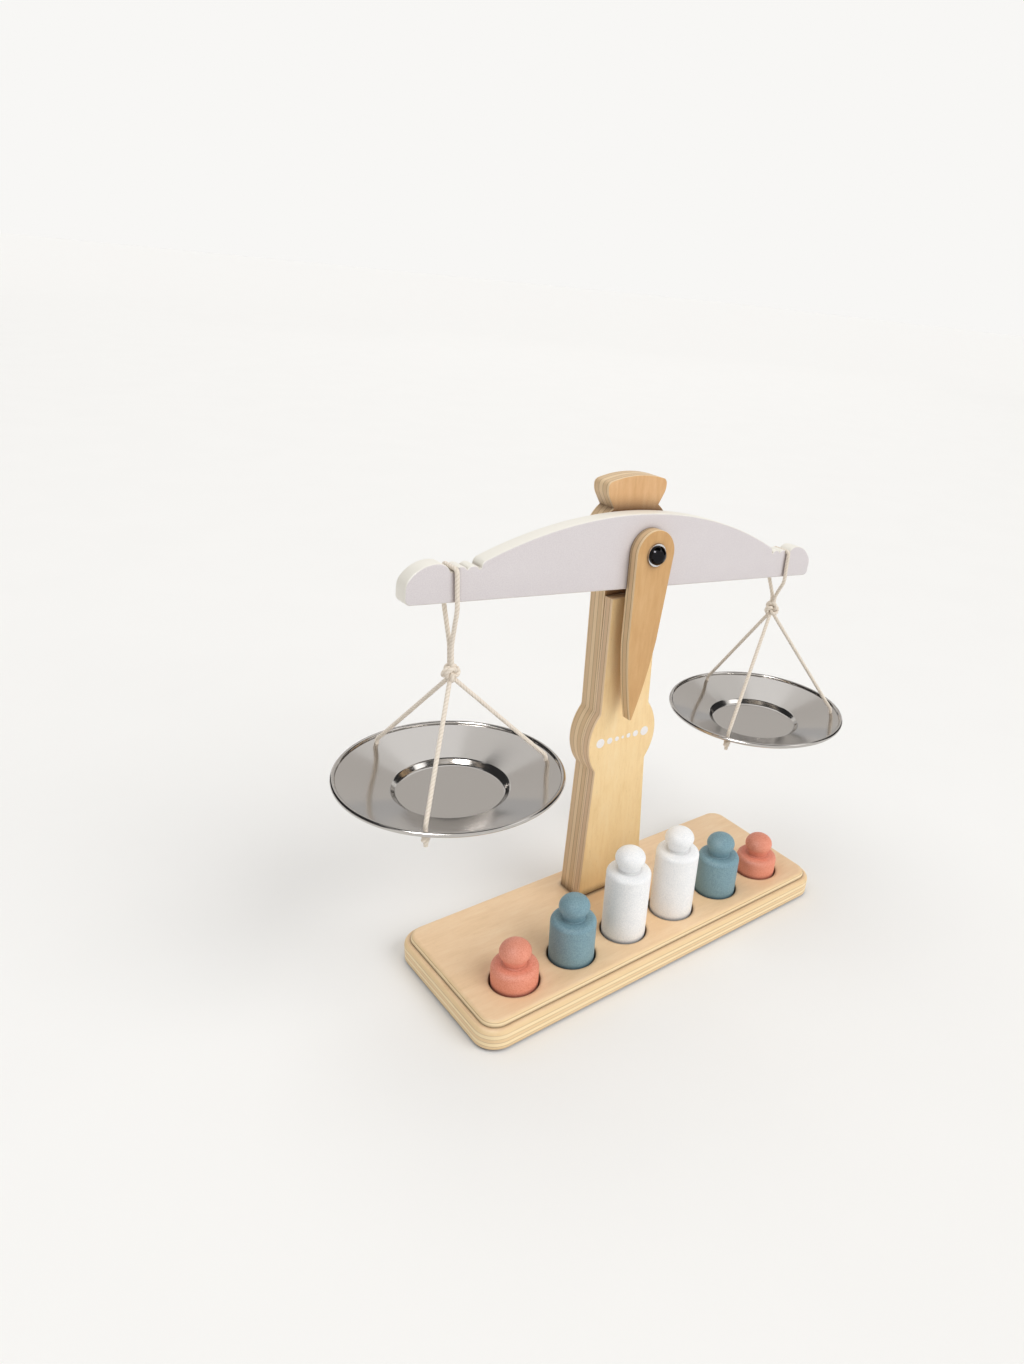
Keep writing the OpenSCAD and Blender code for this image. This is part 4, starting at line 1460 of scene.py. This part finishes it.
        down = np.concatenate([
            arc((0.0, self.rise - arch_r), arch_r, 90, arch_angle, steps=60),
            arc(arch_end, self.bump_r, arch_angle, 0, steps=8),
            arc(first, self.bump_r, 90 + bump_side, 90 - bump_side, steps=10),
            arc(second, self.bump_r, 90 + bump_side, math.degrees(meet), steps=8),
            arc(groove, self.groove_r, groove_angle, 270, steps=8)[1:],
            arc(inner, self.lobe_inner_r, inner_angle, 90, steps=12),
            arc((inner[0], -self.lobe_drop - crest_r), crest_r, 90, crest_end, steps=16),
            arc(outer, self.lobe_outer_r, crest_end, 0, steps=12),
            arc(corner, self.corner_r, 0, -90, steps=8),
        ])
        return mirrored(down[::-1])

    def pointer_outline(self) -> np.ndarray:
        """Gives the pointer's outline about the pivot: round head, long swelling taper and narrow tip.

        The taper is the arc through the tip, the middle, and the point half way, moved out by the swell.

        Returns:
            The outline's points, anticlockwise.
        """
        head_r = self.head_w / 2
        middle = np.array([self.mid_w / 2, -self.mid_drop])
        tip = np.array([self.tip_r, -self.pointer_l])
        taper = arc_through(tip, (middle + tip) / 2 + np.array([self.swell, 0.0]), middle)
        side = rounded([(x, z, 0.0) for x, z in taper[:-1]] + [(*middle, head_r), (head_r, 0.0, 0.0)])
        return mirrored(np.concatenate([side[:-1], arc((0.0, 0.0), head_r, 0, 90, steps=24)]))

    def build(self) -> None:
        """Makes the beam and the pointer at the lean of the stored pose."""
        # Its edge tone is painted light for the lit top edge, and its third colour is painted shade in its
        # crevices
        paint = PaintedWood("white_satin_paint_beam", "#dad4d5", "#d4cdcf", "#85766d", 0.42, Axis.X,
                            edge="#efebe1").build()
        beam = board_mesh("beam_painted", self.beam_outline(), self.front, self.back,
                          self.edge_r, self.edge_r, self.place())
        finish_piece("beam_painted", beam, paint, "beam_arm", "white_paint", "beam")
        wood = Plywood(
            "birch_plywood_pointer", Axis.Y, Axis.Z, first_mm=self.pointer_front, ply_mm=3.2, tint="#cfa26c",
            dark="#c2945d", pale="#d8af7b", edge_pale="#e3c79d", edge_mid="#d2b084",
            centre_mm=(0.0, 0.0, self.pivot_z), turn_deg=self.lean,
        ).build()
        pointer = board_mesh("pointer_wood", self.pointer_outline(), self.pointer_front, self.front,
                             self.pointer_edge_r, self.pointer_back_r, self.place())
        finish_piece("pointer_wood", pointer, wood, "beam_arm", "natural_plywood", "pointer")


@dataclass
class Hanger:
    """One arm's cords, knots and pan.

    Attributes:
        side: Which arm it hangs from.
        notch: The cord's middle where it crosses the beam.
        loop_l: Length from there to the middle of the knot.
        twin_l: Length over which the loop's strands lie side by side.
        angles: Directions of the pan's cord holes, in degrees from +X towards +Y.
        names: Names of the three cords.
        knot_turn: Turn of the gathering knot about its own axis, in degrees.
        knot_tip: Turn of that axis about the vertical, in degrees.
        cord: The cord that all of it is made of.
        knot: The gathering knot, of doubled cord.
        end_knot: The stopper knot under the pan.
        pan_hang: Height from the pan's rim to the notch.
        loop_half_y: Distance of the loop's strands from the beam's middle.
        bend_r: Radius of the cord's bend over the beam's edge.
        bend_angles: Angles of the points on that bend, in degrees.
        flat_share: Place of the point on the flat run over the beam, as a share of that run.
        clear_drop: How far down the strands stay clear of the beam.
        closing_share: Share of the strands' distance that is left half way to where they meet.
        strand_y: Distance from the middle of each strand where they lie side by side.
        knot_h: Height of the gathering knot.
        entry_y: Distance of the strands from the middle at the top of that knot.
        entry_depth: How far below its top that is.
        inner_y: Their distance from the middle inside it.
        inner_rise: How far above its middle they end.
        exit_drop: How far below its middle the pan cords start.
        exit_out: How far from its axis they start.
        taut_shares: Places of the points on a pan cord's taut run, as shares of that run.
        straight_h: Height above its hole at which a pan cord turns to go straight down.
        above_hole: Height of its point just above the hole.
        below_hole: How far below the hole its next point lies.
        pan_r: Radius of the pan over its rim.
        pan_h: Height of the pan inside, from its floor to its rim.
        rim_r: Radius of the rolled rim.
        roll_reach: Share of that radius by which the flange ends before the roll's middle.
        roll_angles: First and last angle of the roll, in degrees from straight out.
        ring_r: Radius at the flange's foot.
        ring_drop: How far the flange's foot lies below the rim.
        step_run: Width of the step between flange and floor.
        step_bend_r: Radius of the step's two bends.
        sheet: Thickness of the sheet.
        hole_r: Distance of the cord holes from the pan's middle.
        end_knot_drop: How far the stopper knots' middles lie below the flange.
        end_knot_h: Half height of a stopper knot.
        end_knot_turn: Turn of a stopper knot about its own axis beyond its hole's angle, in degrees.
        tail: Length of cord below it.
    """

    side: Side
    notch: np.ndarray
    loop_l: float
    twin_l: float
    angles: tuple[float, float, float]
    names: tuple[str, str, str]
    knot_turn: float
    knot_tip: float
    cord: CordMaker = CordMaker()
    knot: OverhandKnot = OverhandKnot(2.35, 1.25, 1.35, (-0.95, 0.95))
    end_knot: OverhandKnot = OverhandKnot(1.1, 0.55, 0.8)
    pan_hang: float = 102.8
    loop_half_y: float = 5.9
    bend_r: float = 1.6
    bend_angles: tuple[float, ...] = (8.0, 35.0, 62.0, 90.0)
    flat_share: float = 0.6
    clear_drop: float = 18.2
    closing_share: float = 0.48
    strand_y: float = 1.15
    knot_h: float = 9.2
    entry_y: float = 1.05
    entry_depth: float = 0.5
    inner_y: float = 0.9
    inner_rise: float = 2.0
    exit_drop: float = 2.6
    exit_out: float = 0.9
    taut_shares: tuple[float, ...] = (0.0, 0.1, 0.3, 0.6, 0.9, 0.988)
    straight_h: float = 2.2
    above_hole: float = 0.6
    below_hole: float = 1.4
    pan_r: float = 56.3
    pan_h: float = 11.6
    rim_r: float = 1.2
    roll_reach: float = 0.9
    roll_angles: tuple[float, float] = (190.0, -100.0)
    ring_r: float = 29.0
    ring_drop: float = 8.8
    step_run: float = 2.8
    step_bend_r: float = 2.6
    sheet: float = 0.8
    hole_r: float = 50.4
    end_knot_drop: float = 3.65
    end_knot_h: float = 2.6
    end_knot_turn: float = 40.0
    tail: float = 2.0

    @property
    def knot_middle(self) -> np.ndarray:
        """The middle of the gathering knot."""
        return self.notch - up(self.loop_l)

    @property
    def pan_middle(self) -> np.ndarray:
        """The middle of the pan, at its rim's top."""
        return self.notch - up(self.pan_hang)

    def flange_z(self, radius: float) -> float:
        """Gives the flange's height from the rim's top, which rises in a straight line from its foot."""
        run = self.pan_r - self.rim_r - self.ring_r
        return -self.ring_drop + (radius - self.ring_r) * (self.ring_drop - self.rim_r) / run

    def hole(self, angle: float) -> np.ndarray:
        """Gives the place of the cord hole that lies in a direction from the pan's middle."""
        return self.pan_middle + self.hole_r * outward(angle) + up(self.flange_z(self.hole_r))

    def loop_path(self) -> np.ndarray:
        """Lays out the loop: over the beam, down both faces, together, and into the knot.

        One half is laid out as distances from the beam's middle and heights from the notch. The bend goes out
        as its radius times the sine, and down as its radius times one minus the cosine.

        Returns:
            One route over the beam, ending in the knot on both sides.
        """
        flat = self.loop_half_y - self.bend_r
        half = [(0.0, 0.0), (self.flat_share * flat, 0.0)]
        half += [(flat + self.bend_r * math.sin(a), -self.bend_r * (1 - math.cos(a)))
                 for a in np.radians(self.bend_angles)]
        half += [(self.loop_half_y, -self.clear_drop / 2), (self.loop_half_y, -self.clear_drop)]
        meet = self.loop_l - self.knot_h / 2 - self.twin_l
        between = self.strand_y + (self.loop_half_y - self.strand_y) * self.closing_share
        half += [(between, -(self.clear_drop + meet) / 2), (self.strand_y, -meet)]
        half += [(self.entry_y, -self.loop_l + self.knot_h / 2 - self.entry_depth),
                 (self.inner_y, -self.loop_l + self.inner_rise)]
        away, height = np.array(half).T
        rear, front = (np.stack([np.zeros_like(away), sign * away, height], axis=1) for sign in (1, -1))
        return smooth_path(np.concatenate([front[:0:-1], rear]) + self.notch, self.cord.step)

    def cord_path(self, angle: float) -> np.ndarray:
        """Lays out one pan cord: from inside the knot, taut to its hole, and down through it to its tail.

        Args:
            angle: Direction of its hole.

        Returns:
            The cord's route.
        """
        hole = self.hole(angle)
        above = hole + up(self.straight_h)
        start = self.knot_middle - up(self.exit_drop) + self.exit_out * outward(angle)
        stop = hole - up(self.end_knot_drop + self.end_knot_h + self.tail)
        taut = [start + (above - start) * share for share in self.taut_shares]
        through = [hole + up(self.above_hole), hole - up(self.below_hole), stop]
        return smooth_path(np.array(taut + through), self.cord.step)

    def pan_profile(self) -> np.ndarray:
        """Draws the pan's section: floor, curved step, sloping flange and rolled rim, then back underneath.

        The underside lies below the upper side by the sheet's thickness, square to the mean direction of each
        point's two sides.

        Returns:
            Radius and height of each point, from the lower pole to the upper one.
        """
        rim = (self.pan_r - self.rim_r, -self.rim_r)
        flange_end = rim[0] - self.rim_r * self.roll_reach
        upper = rounded([
            (0.0, -self.pan_h, 0.0),
            (self.ring_r - self.step_run, -self.pan_h, self.step_bend_r),
            (self.ring_r, -self.ring_drop, self.step_bend_r),
            (flange_end, self.flange_z(flange_end), 0.0),
        ], steps=10)
        along = np.diff(upper, axis=0)
        along /= np.linalg.norm(along, axis=1, keepdims=True)
        before, after = np.concatenate([along[:1], along]), np.concatenate([along, along[-1:]])
        normal = np.stack([(before + after)[:, 1], -(before + after)[:, 0]], axis=1)
        lower = upper + normal * self.sheet / (1 + np.sum(before * after, axis=1, keepdims=True))
        lower[0, 0] = 0.0
        roll = arc(rim, self.rim_r, *self.roll_angles, steps=24)
        return np.concatenate([lower, roll[::-1], upper[::-1]])

    def build_cord(self, name: str, paths: list[np.ndarray], cotton: bpy.types.Material, body: str,
                   node: str) -> None:
        """Makes one piece of cord.

        Args:
            name: The piece's name.
            paths: Its routes.
            cotton: Its finish.
            body: The body that it rides on.
            node: The CAD node that it stands for.
        """
        finish_piece(name, self.cord.mesh(name, paths), cotton, body, "cotton_cord", node)

    def build(self, cotton: bpy.types.Material) -> None:
        """Makes the loop, knots, cords and pan.

        Args:
            cotton: The cords' finish.
        """
        side, step = self.side.value, self.cord.step
        hanger, load = f"{side}_hanger", f"{side}_load"
        self.build_cord(f"{side}_loop_cotton", [self.loop_path()], cotton, hanger, f"{side}_cord_loop")
        gathering = self.knot.paths(self.knot_middle, self.knot_turn, self.knot_tip, step)
        self.build_cord(f"{side}_knot_cotton", gathering, cotton, load, f"{side}_knot")
        for angle, name in zip(self.angles, self.names):
            self.build_cord(f"{name}_cotton", [self.cord_path(angle)], cotton, load, name)
        stoppers = []
        for angle in self.angles:
            middle = self.hole(angle) - up(self.end_knot_drop)
            stoppers += self.end_knot.paths(middle, angle + self.end_knot_turn, angle, step)
        self.build_cord(f"{side}_end_knots_cotton", stoppers, cotton, load, f"{side}_end_knots")
        steel = SpunSteel(f"spun_steel_{side}_pan", tuple(float(v) for v in self.pan_middle)).build()
        pan = turned_mesh(f"{side}_pan_steel", self.pan_profile(), self.pan_middle, segments=160)
        finish_piece(f"{side}_pan_steel", pan, steel, load, "polished_steel", f"{side}_pan")


@dataclass
class Weights:
    """The six turned weights in their sockets.

    Attributes:
        pitch: Spacing of the sockets.
        row_y: Y of their row.
        base_top: Height of the base's upper face.
        socket_depth: Depth of the sockets.
        small_rise: Height of the small weights' shoulders above the base.
        medium_rise: Height of the medium ones' shoulders.
        tall_rise: Height of the tall ones' shoulders.
        radius: Radius of a weight's body.
        shoulder_r: Rounding of its shoulder.
        foot_r: Rounding of its foot.
        neck_r: Radius of its neck.
        neck_h: Height of its neck.
        neck_blend_r: Rounding between shoulder and neck.
        neck_overlap: How far the neck's side reaches into the knob.
        dish: How far the shoulder's flat top rises towards the neck.
        knob_r: Radius of the knob.
        knob_h: Height of the knob.
        knob_cut: Height left off the knob's foot before its points are spaced.
        knob_points: Number of those points.
    """

    pitch: float = 37.5
    row_y: float = -22.2
    base_top: float = BASE_TOP
    socket_depth: float = 10.0
    small_rise: float = 11.5
    medium_rise: float = 25.0
    tall_rise: float = 42.4
    radius: float = 12.8
    shoulder_r: float = 3.0
    foot_r: float = 1.0
    neck_r: float = 6.2
    neck_h: float = 0.9
    neck_blend_r: float = 0.7
    neck_overlap: float = 0.3
    dish: float = 0.05
    knob_r: float = 8.6
    knob_h: float = 13.2
    knob_cut: float = 0.5
    knob_points: int = 30

    def profile(self, rise: float) -> np.ndarray:
        """Draws a weight's section: foot, straight side, rounded shoulder, neck and flattened ball.

        The ball's radius goes as the cosine of the angle above its middle, and its height as the sine.

        Args:
            rise: Height of the shoulder above the base.

        Returns:
            Radius and height of each point, from the foot's pole to the knob's.
        """
        body_h = self.socket_depth + rise
        half_h = self.knob_h / 2
        middle = body_h + self.neck_h + half_h
        angles = np.linspace(math.asin(self.knob_cut / half_h - 1), math.pi / 2, self.knob_points)
        knob = np.stack([self.knob_r * np.cos(angles), middle + half_h * np.sin(angles)], axis=1)
        neck_top = middle - half_h * math.sin(math.acos(self.neck_r / self.knob_r)) + self.neck_overlap
        knob = knob[knob[:, 1] > neck_top]
        knob[-1, 0] = 0.0
        body = rounded([
            (0.0, 0.0, 0.0),
            (self.radius, 0.0, self.foot_r),
            (self.radius, body_h, self.shoulder_r),
            (self.neck_r, body_h + self.dish, self.neck_blend_r),
            (self.neck_r, neck_top, 0.0),
        ], steps=10)
        return np.concatenate([body[:-1], knob])

    def build(self) -> None:
        """Makes the six weights, in the order of their sockets."""
        # Each paint's third colour is the painted shade in its crevices
        coral = PaintedWood("coral_matt_paint", "#f0a189", "#e28b70", "#8a3a2c", 0.55).build()
        teal = PaintedWood("blue_green_matt_paint", "#87a8b2", "#7292a0", "#2f4750", 0.55).build()
        white = PaintedWood("white_satin_paint_weight", "#fbfbfb", "#ebedef", "#8c8882", 0.48).build()
        row = (
            ("small_left", self.small_rise, coral, "coral_paint"),
            ("medium_left", self.medium_rise, teal, "blue_green_paint"),
            ("tall_left", self.tall_rise, white, "white_paint"),
            ("tall_right", self.tall_rise, white, "white_paint"),
            ("medium_right", self.medium_rise, teal, "blue_green_paint"),
            ("small_right", self.small_rise, coral, "coral_paint"),
        )
        for number, (name, rise, paint, slot) in enumerate(row):
            foot = ((number - (len(row) - 1) / 2) * self.pitch, self.row_y, self.base_top - self.socket_depth)
            mesh = turned_mesh(f"weight_{name}_painted", self.profile(rise), foot)
            finish_piece(f"weight_{name}_painted", mesh, paint, name, slot, f"weight_{name}")


# The studio


def stage_piece(name: str, corners: np.ndarray, material: bpy.types.Material) -> bpy.types.Object:
    """Puts a four-cornered sheet into the scene that isn't part of the toy.

    Args:
        name: Its name.
        corners: Its corners in millimetres.
        material: Its finish.

    Returns:
        The new object.
    """
    mesh = mesh_from(name, corners, [[0, 1, 2, 3]])
    mesh.materials.append(material)
    sheet = bpy.data.objects.new(name, mesh)
    bpy.context.scene.collection.objects.link(sheet)
    return sheet


@dataclass(frozen=True)
class Card:
    """A plain card that faces the toy, which only shiny pieces show.

    Attributes:
        name: Its name.
        bearing: Its direction from the toy, in degrees from +Y towards +X.
        height_angle: Its direction above the level, in degrees.
        distance: How far from the toy it stands.
        width: Its width.
        height: Its height.
        tone: The tone that shiny pieces show.
        glow: How many times as bright as its tone it shows.
    """

    name: str
    bearing: float
    height_angle: float
    distance: float
    width: float
    height: float
    tone: str = "#ffffff"
    glow: float = 1.0

    def build(self, aim: tuple[float, float, float]) -> None:
        """Stands the card, square to the line from the toy.

        Args:
            aim: The toy's middle.
        """
        bearing, angle = math.radians(self.bearing), math.radians(self.height_angle)
        ahead = np.array([math.sin(bearing), math.cos(bearing), 0.0])
        away = ahead * math.cos(angle) + up(math.sin(angle))
        side = np.array([math.cos(bearing), -math.sin(bearing), 0.0])
        rise = np.cross(side, away)
        centre = np.array(aim) + away * self.distance
        corners = [centre + side * x * self.width / 2 + rise * z * self.height / 2
                   for x, z in ((-1, -1), (1, -1), (1, 1), (-1, 1))]
        material, tree, shader = new_material(self.name)
        fill(tree, shader, {
            "Base Color": linear("#000000"),
            "Roughness": 1.0,
            "Emission Color": linear(self.tone),
            "Emission Strength": self.glow,
        })
        card = stage_piece(self.name, np.array(corners), material)
        card.visible_camera = card.visible_diffuse = card.visible_shadow = card.visible_transmission = False


@dataclass(frozen=True)
class SoftLamp:
    """A sun with a wide disc, which lights evenly over the whole floor, up to its horizon.

    Attributes:
        name: Its name.
        turn: Its turn about each axis, in degrees.
        width: Width of its disc, in degrees.
        strength: Its strength.
    """

    name: str
    turn: tuple[float, float, float]
    width: float
    strength: float

    def build(self) -> None:
        """Hangs the lamp, which shiny pieces don't show."""
        lamp = bpy.data.lights.new(self.name, "SUN")
        lamp.angle = math.radians(self.width)
        lamp.energy = self.strength
        holder = bpy.data.objects.new(self.name, lamp)
        holder.rotation_euler = [math.radians(v) for v in self.turn]
        holder.visible_glossy = False
        bpy.context.scene.collection.objects.link(holder)


@dataclass
class Studio:
    """The floor, the lamps, the surroundings and the camera.

    Attributes:
        azimuth: Degrees from straight ahead to the camera's line of sight, seen from above.
        elevation: Degrees that it looks down.
        roll: Degrees that it is turned about its line of sight.
        distance: Millimetres from the aimed point.
        focal_px: Focal length in pixels of the photograph.
        centre_px: Where its line of sight meets the photograph.
        aim: The point that it is stood and turned about.
        picture: The photograph's width and height in pixels.
        sensor: Width of its sensor.
        clip: The nearest and farthest that it sees, in metres.
        fill_strength: Strength of the even light from all round.
        floor_half: Half the width of the floor, so wide that its far edge lies at the horizon.
        lamps: The soft lamps.
        cards: The cards that shiny pieces show.
    """

    azimuth: float = 43.0
    elevation: float = 26.5
    roll: float = 6.0
    distance: float = 498.0
    focal_px: float = 895.0
    centre_px: tuple[float, float] = (641.0, 733.0)
    aim: tuple[float, float, float] = (0.0, 0.0, 130.0)
    picture: tuple[int, int] = (1024, 1364)
    sensor: float = 36.0
    clip: tuple[float, float] = (0.01, 50.0)
    fill_strength: float = 0.5
    floor_half: float = 30000.0
    lamps: tuple[SoftLamp, ...] = (
        SoftLamp("overhead_softbox", (-20.0, -10.0, 0.0), 70.0, 0.95),
        SoftLamp("front_softbox", (50.0, 0.0, 25.0), 45.0, 1.5),
    )
    cards: tuple[Card, ...] = (
        Card("overhead_dark_card", 43.0, 91.0, 900.0, 1100.0, 620.0, "#3a3a3b"),
        Card("rear_grey_card", 39.0, 21.0, 5200.0, 5200.0, 3900.0, "#dad7d3"),
        Card("horizon_card", 39.0, 10.5, 5100.0, 5000.0, 900.0, "#c9c9c9"),
        Card("left_dark_card", -24.0, 27.0, 5000.0, 4100.0, 6200.0, "#2e2e30"),
        Card("far_left_dark_card", -68.0, 27.0, 5000.0, 4600.0, 6200.0, "#2e2e30"),
        Card("left_low_dark_card", 19.0, 0.0, 5000.0, 1150.0, 1000.0, "#2e2e30"),
        Card("right_dark_card", 97.0, 22.0, 5000.0, 4100.0, 4800.0, "#2e2e30"),
        Card("right_low_dark_card", 64.0, 2.0, 5000.0, 900.0, 1200.0, "#2e2e30"),
        Card("rear_high_card", 41.0, 60.0, 5000.0, 1700.0, 1900.0, glow=1.16),
        Card("front_left_light_card", 246.0, 51.0, 900.0, 300.0, 260.0, glow=24.0),
        Card("front_right_light_card", 140.0, 50.0, 900.0, 340.0, 240.0, glow=2.2),
    )

    def build(self) -> None:
        """Sets up the floor, the light, the cards and the camera."""
        self.build_floor()
        self.build_surroundings()
        for lamp in self.lamps:
            lamp.build()
        for card in self.cards:
            card.build(self.aim)
        self.build_camera()

    def build_floor(self) -> None:
        """Lays a large white floor, which keeps the toy's shadow."""
        corners = np.array([[-1, -1, 0], [1, -1, 0], [1, 1, 0], [-1, 1, 0]]) * self.floor_half
        material, tree, shader = new_material("white_paper_floor")
        place = add(tree, "ShaderNodeTexCoord").outputs["Object"]
        # Paper's slight unevenness: soft patches 111 mm across
        mottle = add(tree, "ShaderNodeTexNoise", {
            "Vector": place, "Scale": scale_of(111.0), "Detail": 2.0,
        }).outputs["Fac"]
        fill(tree, shader, {
            "Base Color": ramp(tree, mottle, [(0.3, "#f1f0ee"), (0.7, "#f2f1ef")]),
            "Roughness": 0.9,
        })
        stage_piece("floor", corners, material)

    def build_surroundings(self) -> None:
        """Sets the toy in a pale even surrounding, which shows brighter than it lights."""
        world = bpy.data.worlds.new("studio")
        world.use_nodes = True
        bpy.context.scene.world = world
        tree = world.node_tree
        rays = add(tree, "ShaderNodeLightPath").outputs
        seen = add(tree, "ShaderNodeMath", {0: rays["Is Camera Ray"], 1: rays["Is Transmission Ray"]},
                   operation="MAXIMUM").outputs[0]
        seen = add(tree, "ShaderNodeMath", {0: seen, 1: rays["Is Glossy Ray"]},
                   operation="MAXIMUM").outputs[0]
        strength = add(tree, "ShaderNodeMapRange", {
            "Value": seen, "To Min": self.fill_strength, "To Max": 1.0,
        }).outputs["Result"]
        fill(tree, tree.nodes["Background"], {"Color": linear("#f8f7f5"), "Strength": strength})

    def build_camera(self) -> None:
        """Stands the camera where the photograph's view of the toy is taken from."""
        azimuth, elevation, roll = (math.radians(v) for v in (self.azimuth, self.elevation, self.roll))
        ahead = Vector((math.sin(azimuth), math.cos(azimuth), 0.0))
        forward = ahead * math.cos(elevation) - Vector(up(math.sin(elevation)))
        level_right = Vector((math.cos(azimuth), -math.sin(azimuth), 0.0))
        level_up = level_right.cross(forward)
        rolled_right = math.cos(roll) * level_right + math.sin(roll) * level_up
        rolled_up = math.cos(roll) * level_up - math.sin(roll) * level_right
        width, height = self.picture
        data = bpy.data.cameras.new("photo_camera")
        data.sensor_fit = "AUTO"
        data.sensor_width = self.sensor
        data.lens = self.focal_px / height * self.sensor
        data.shift_x = (width / 2 - self.centre_px[0]) / height
        data.shift_y = (self.centre_px[1] - height / 2) / height
        data.clip_start, data.clip_end = self.clip
        camera = bpy.data.objects.new("photo_camera", data)
        turn = Matrix((rolled_right, rolled_up, -forward)).transposed().to_4x4()
        place = (Vector(self.aim) - forward * self.distance) * MM
        camera.matrix_world = Matrix.Translation(place) @ turn
        bpy.context.scene.collection.objects.link(camera)
        bpy.context.scene.camera = camera
        bpy.context.scene.view_settings.view_transform = "Standard"


def main() -> None:
    """Builds every assembly in order."""
    logging.basicConfig(level=logging.INFO, format="%(name)s: %(message)s")
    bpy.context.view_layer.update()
    Studio().build()
    Stand().build()
    Pivot().build()
    beam_arm = BeamArm()
    beam_arm.build()
    cotton = CottonCord().build()
    left = Hanger(
        Side.LEFT, beam_arm.notch(Side.LEFT), loop_l=50.6, twin_l=9.0, angles=(-12.0, 108.0, 228.0),
        names=("left_cord_inner", "left_cord_rear", "left_cord_front"), knot_turn=35.0, knot_tip=24.0,
    )
    right = Hanger(
        Side.RIGHT, beam_arm.notch(Side.RIGHT), loop_l=36.8, twin_l=3.0, angles=(-36.0, 84.0, 204.0),
        names=("right_cord_outer", "right_cord_rear", "right_cord_inner"), knot_turn=-20.0, knot_tip=-35.0,
    )
    left.build(cotton)
    right.build(cotton)
    Weights().build()


if __name__ == "__main__":
    main()
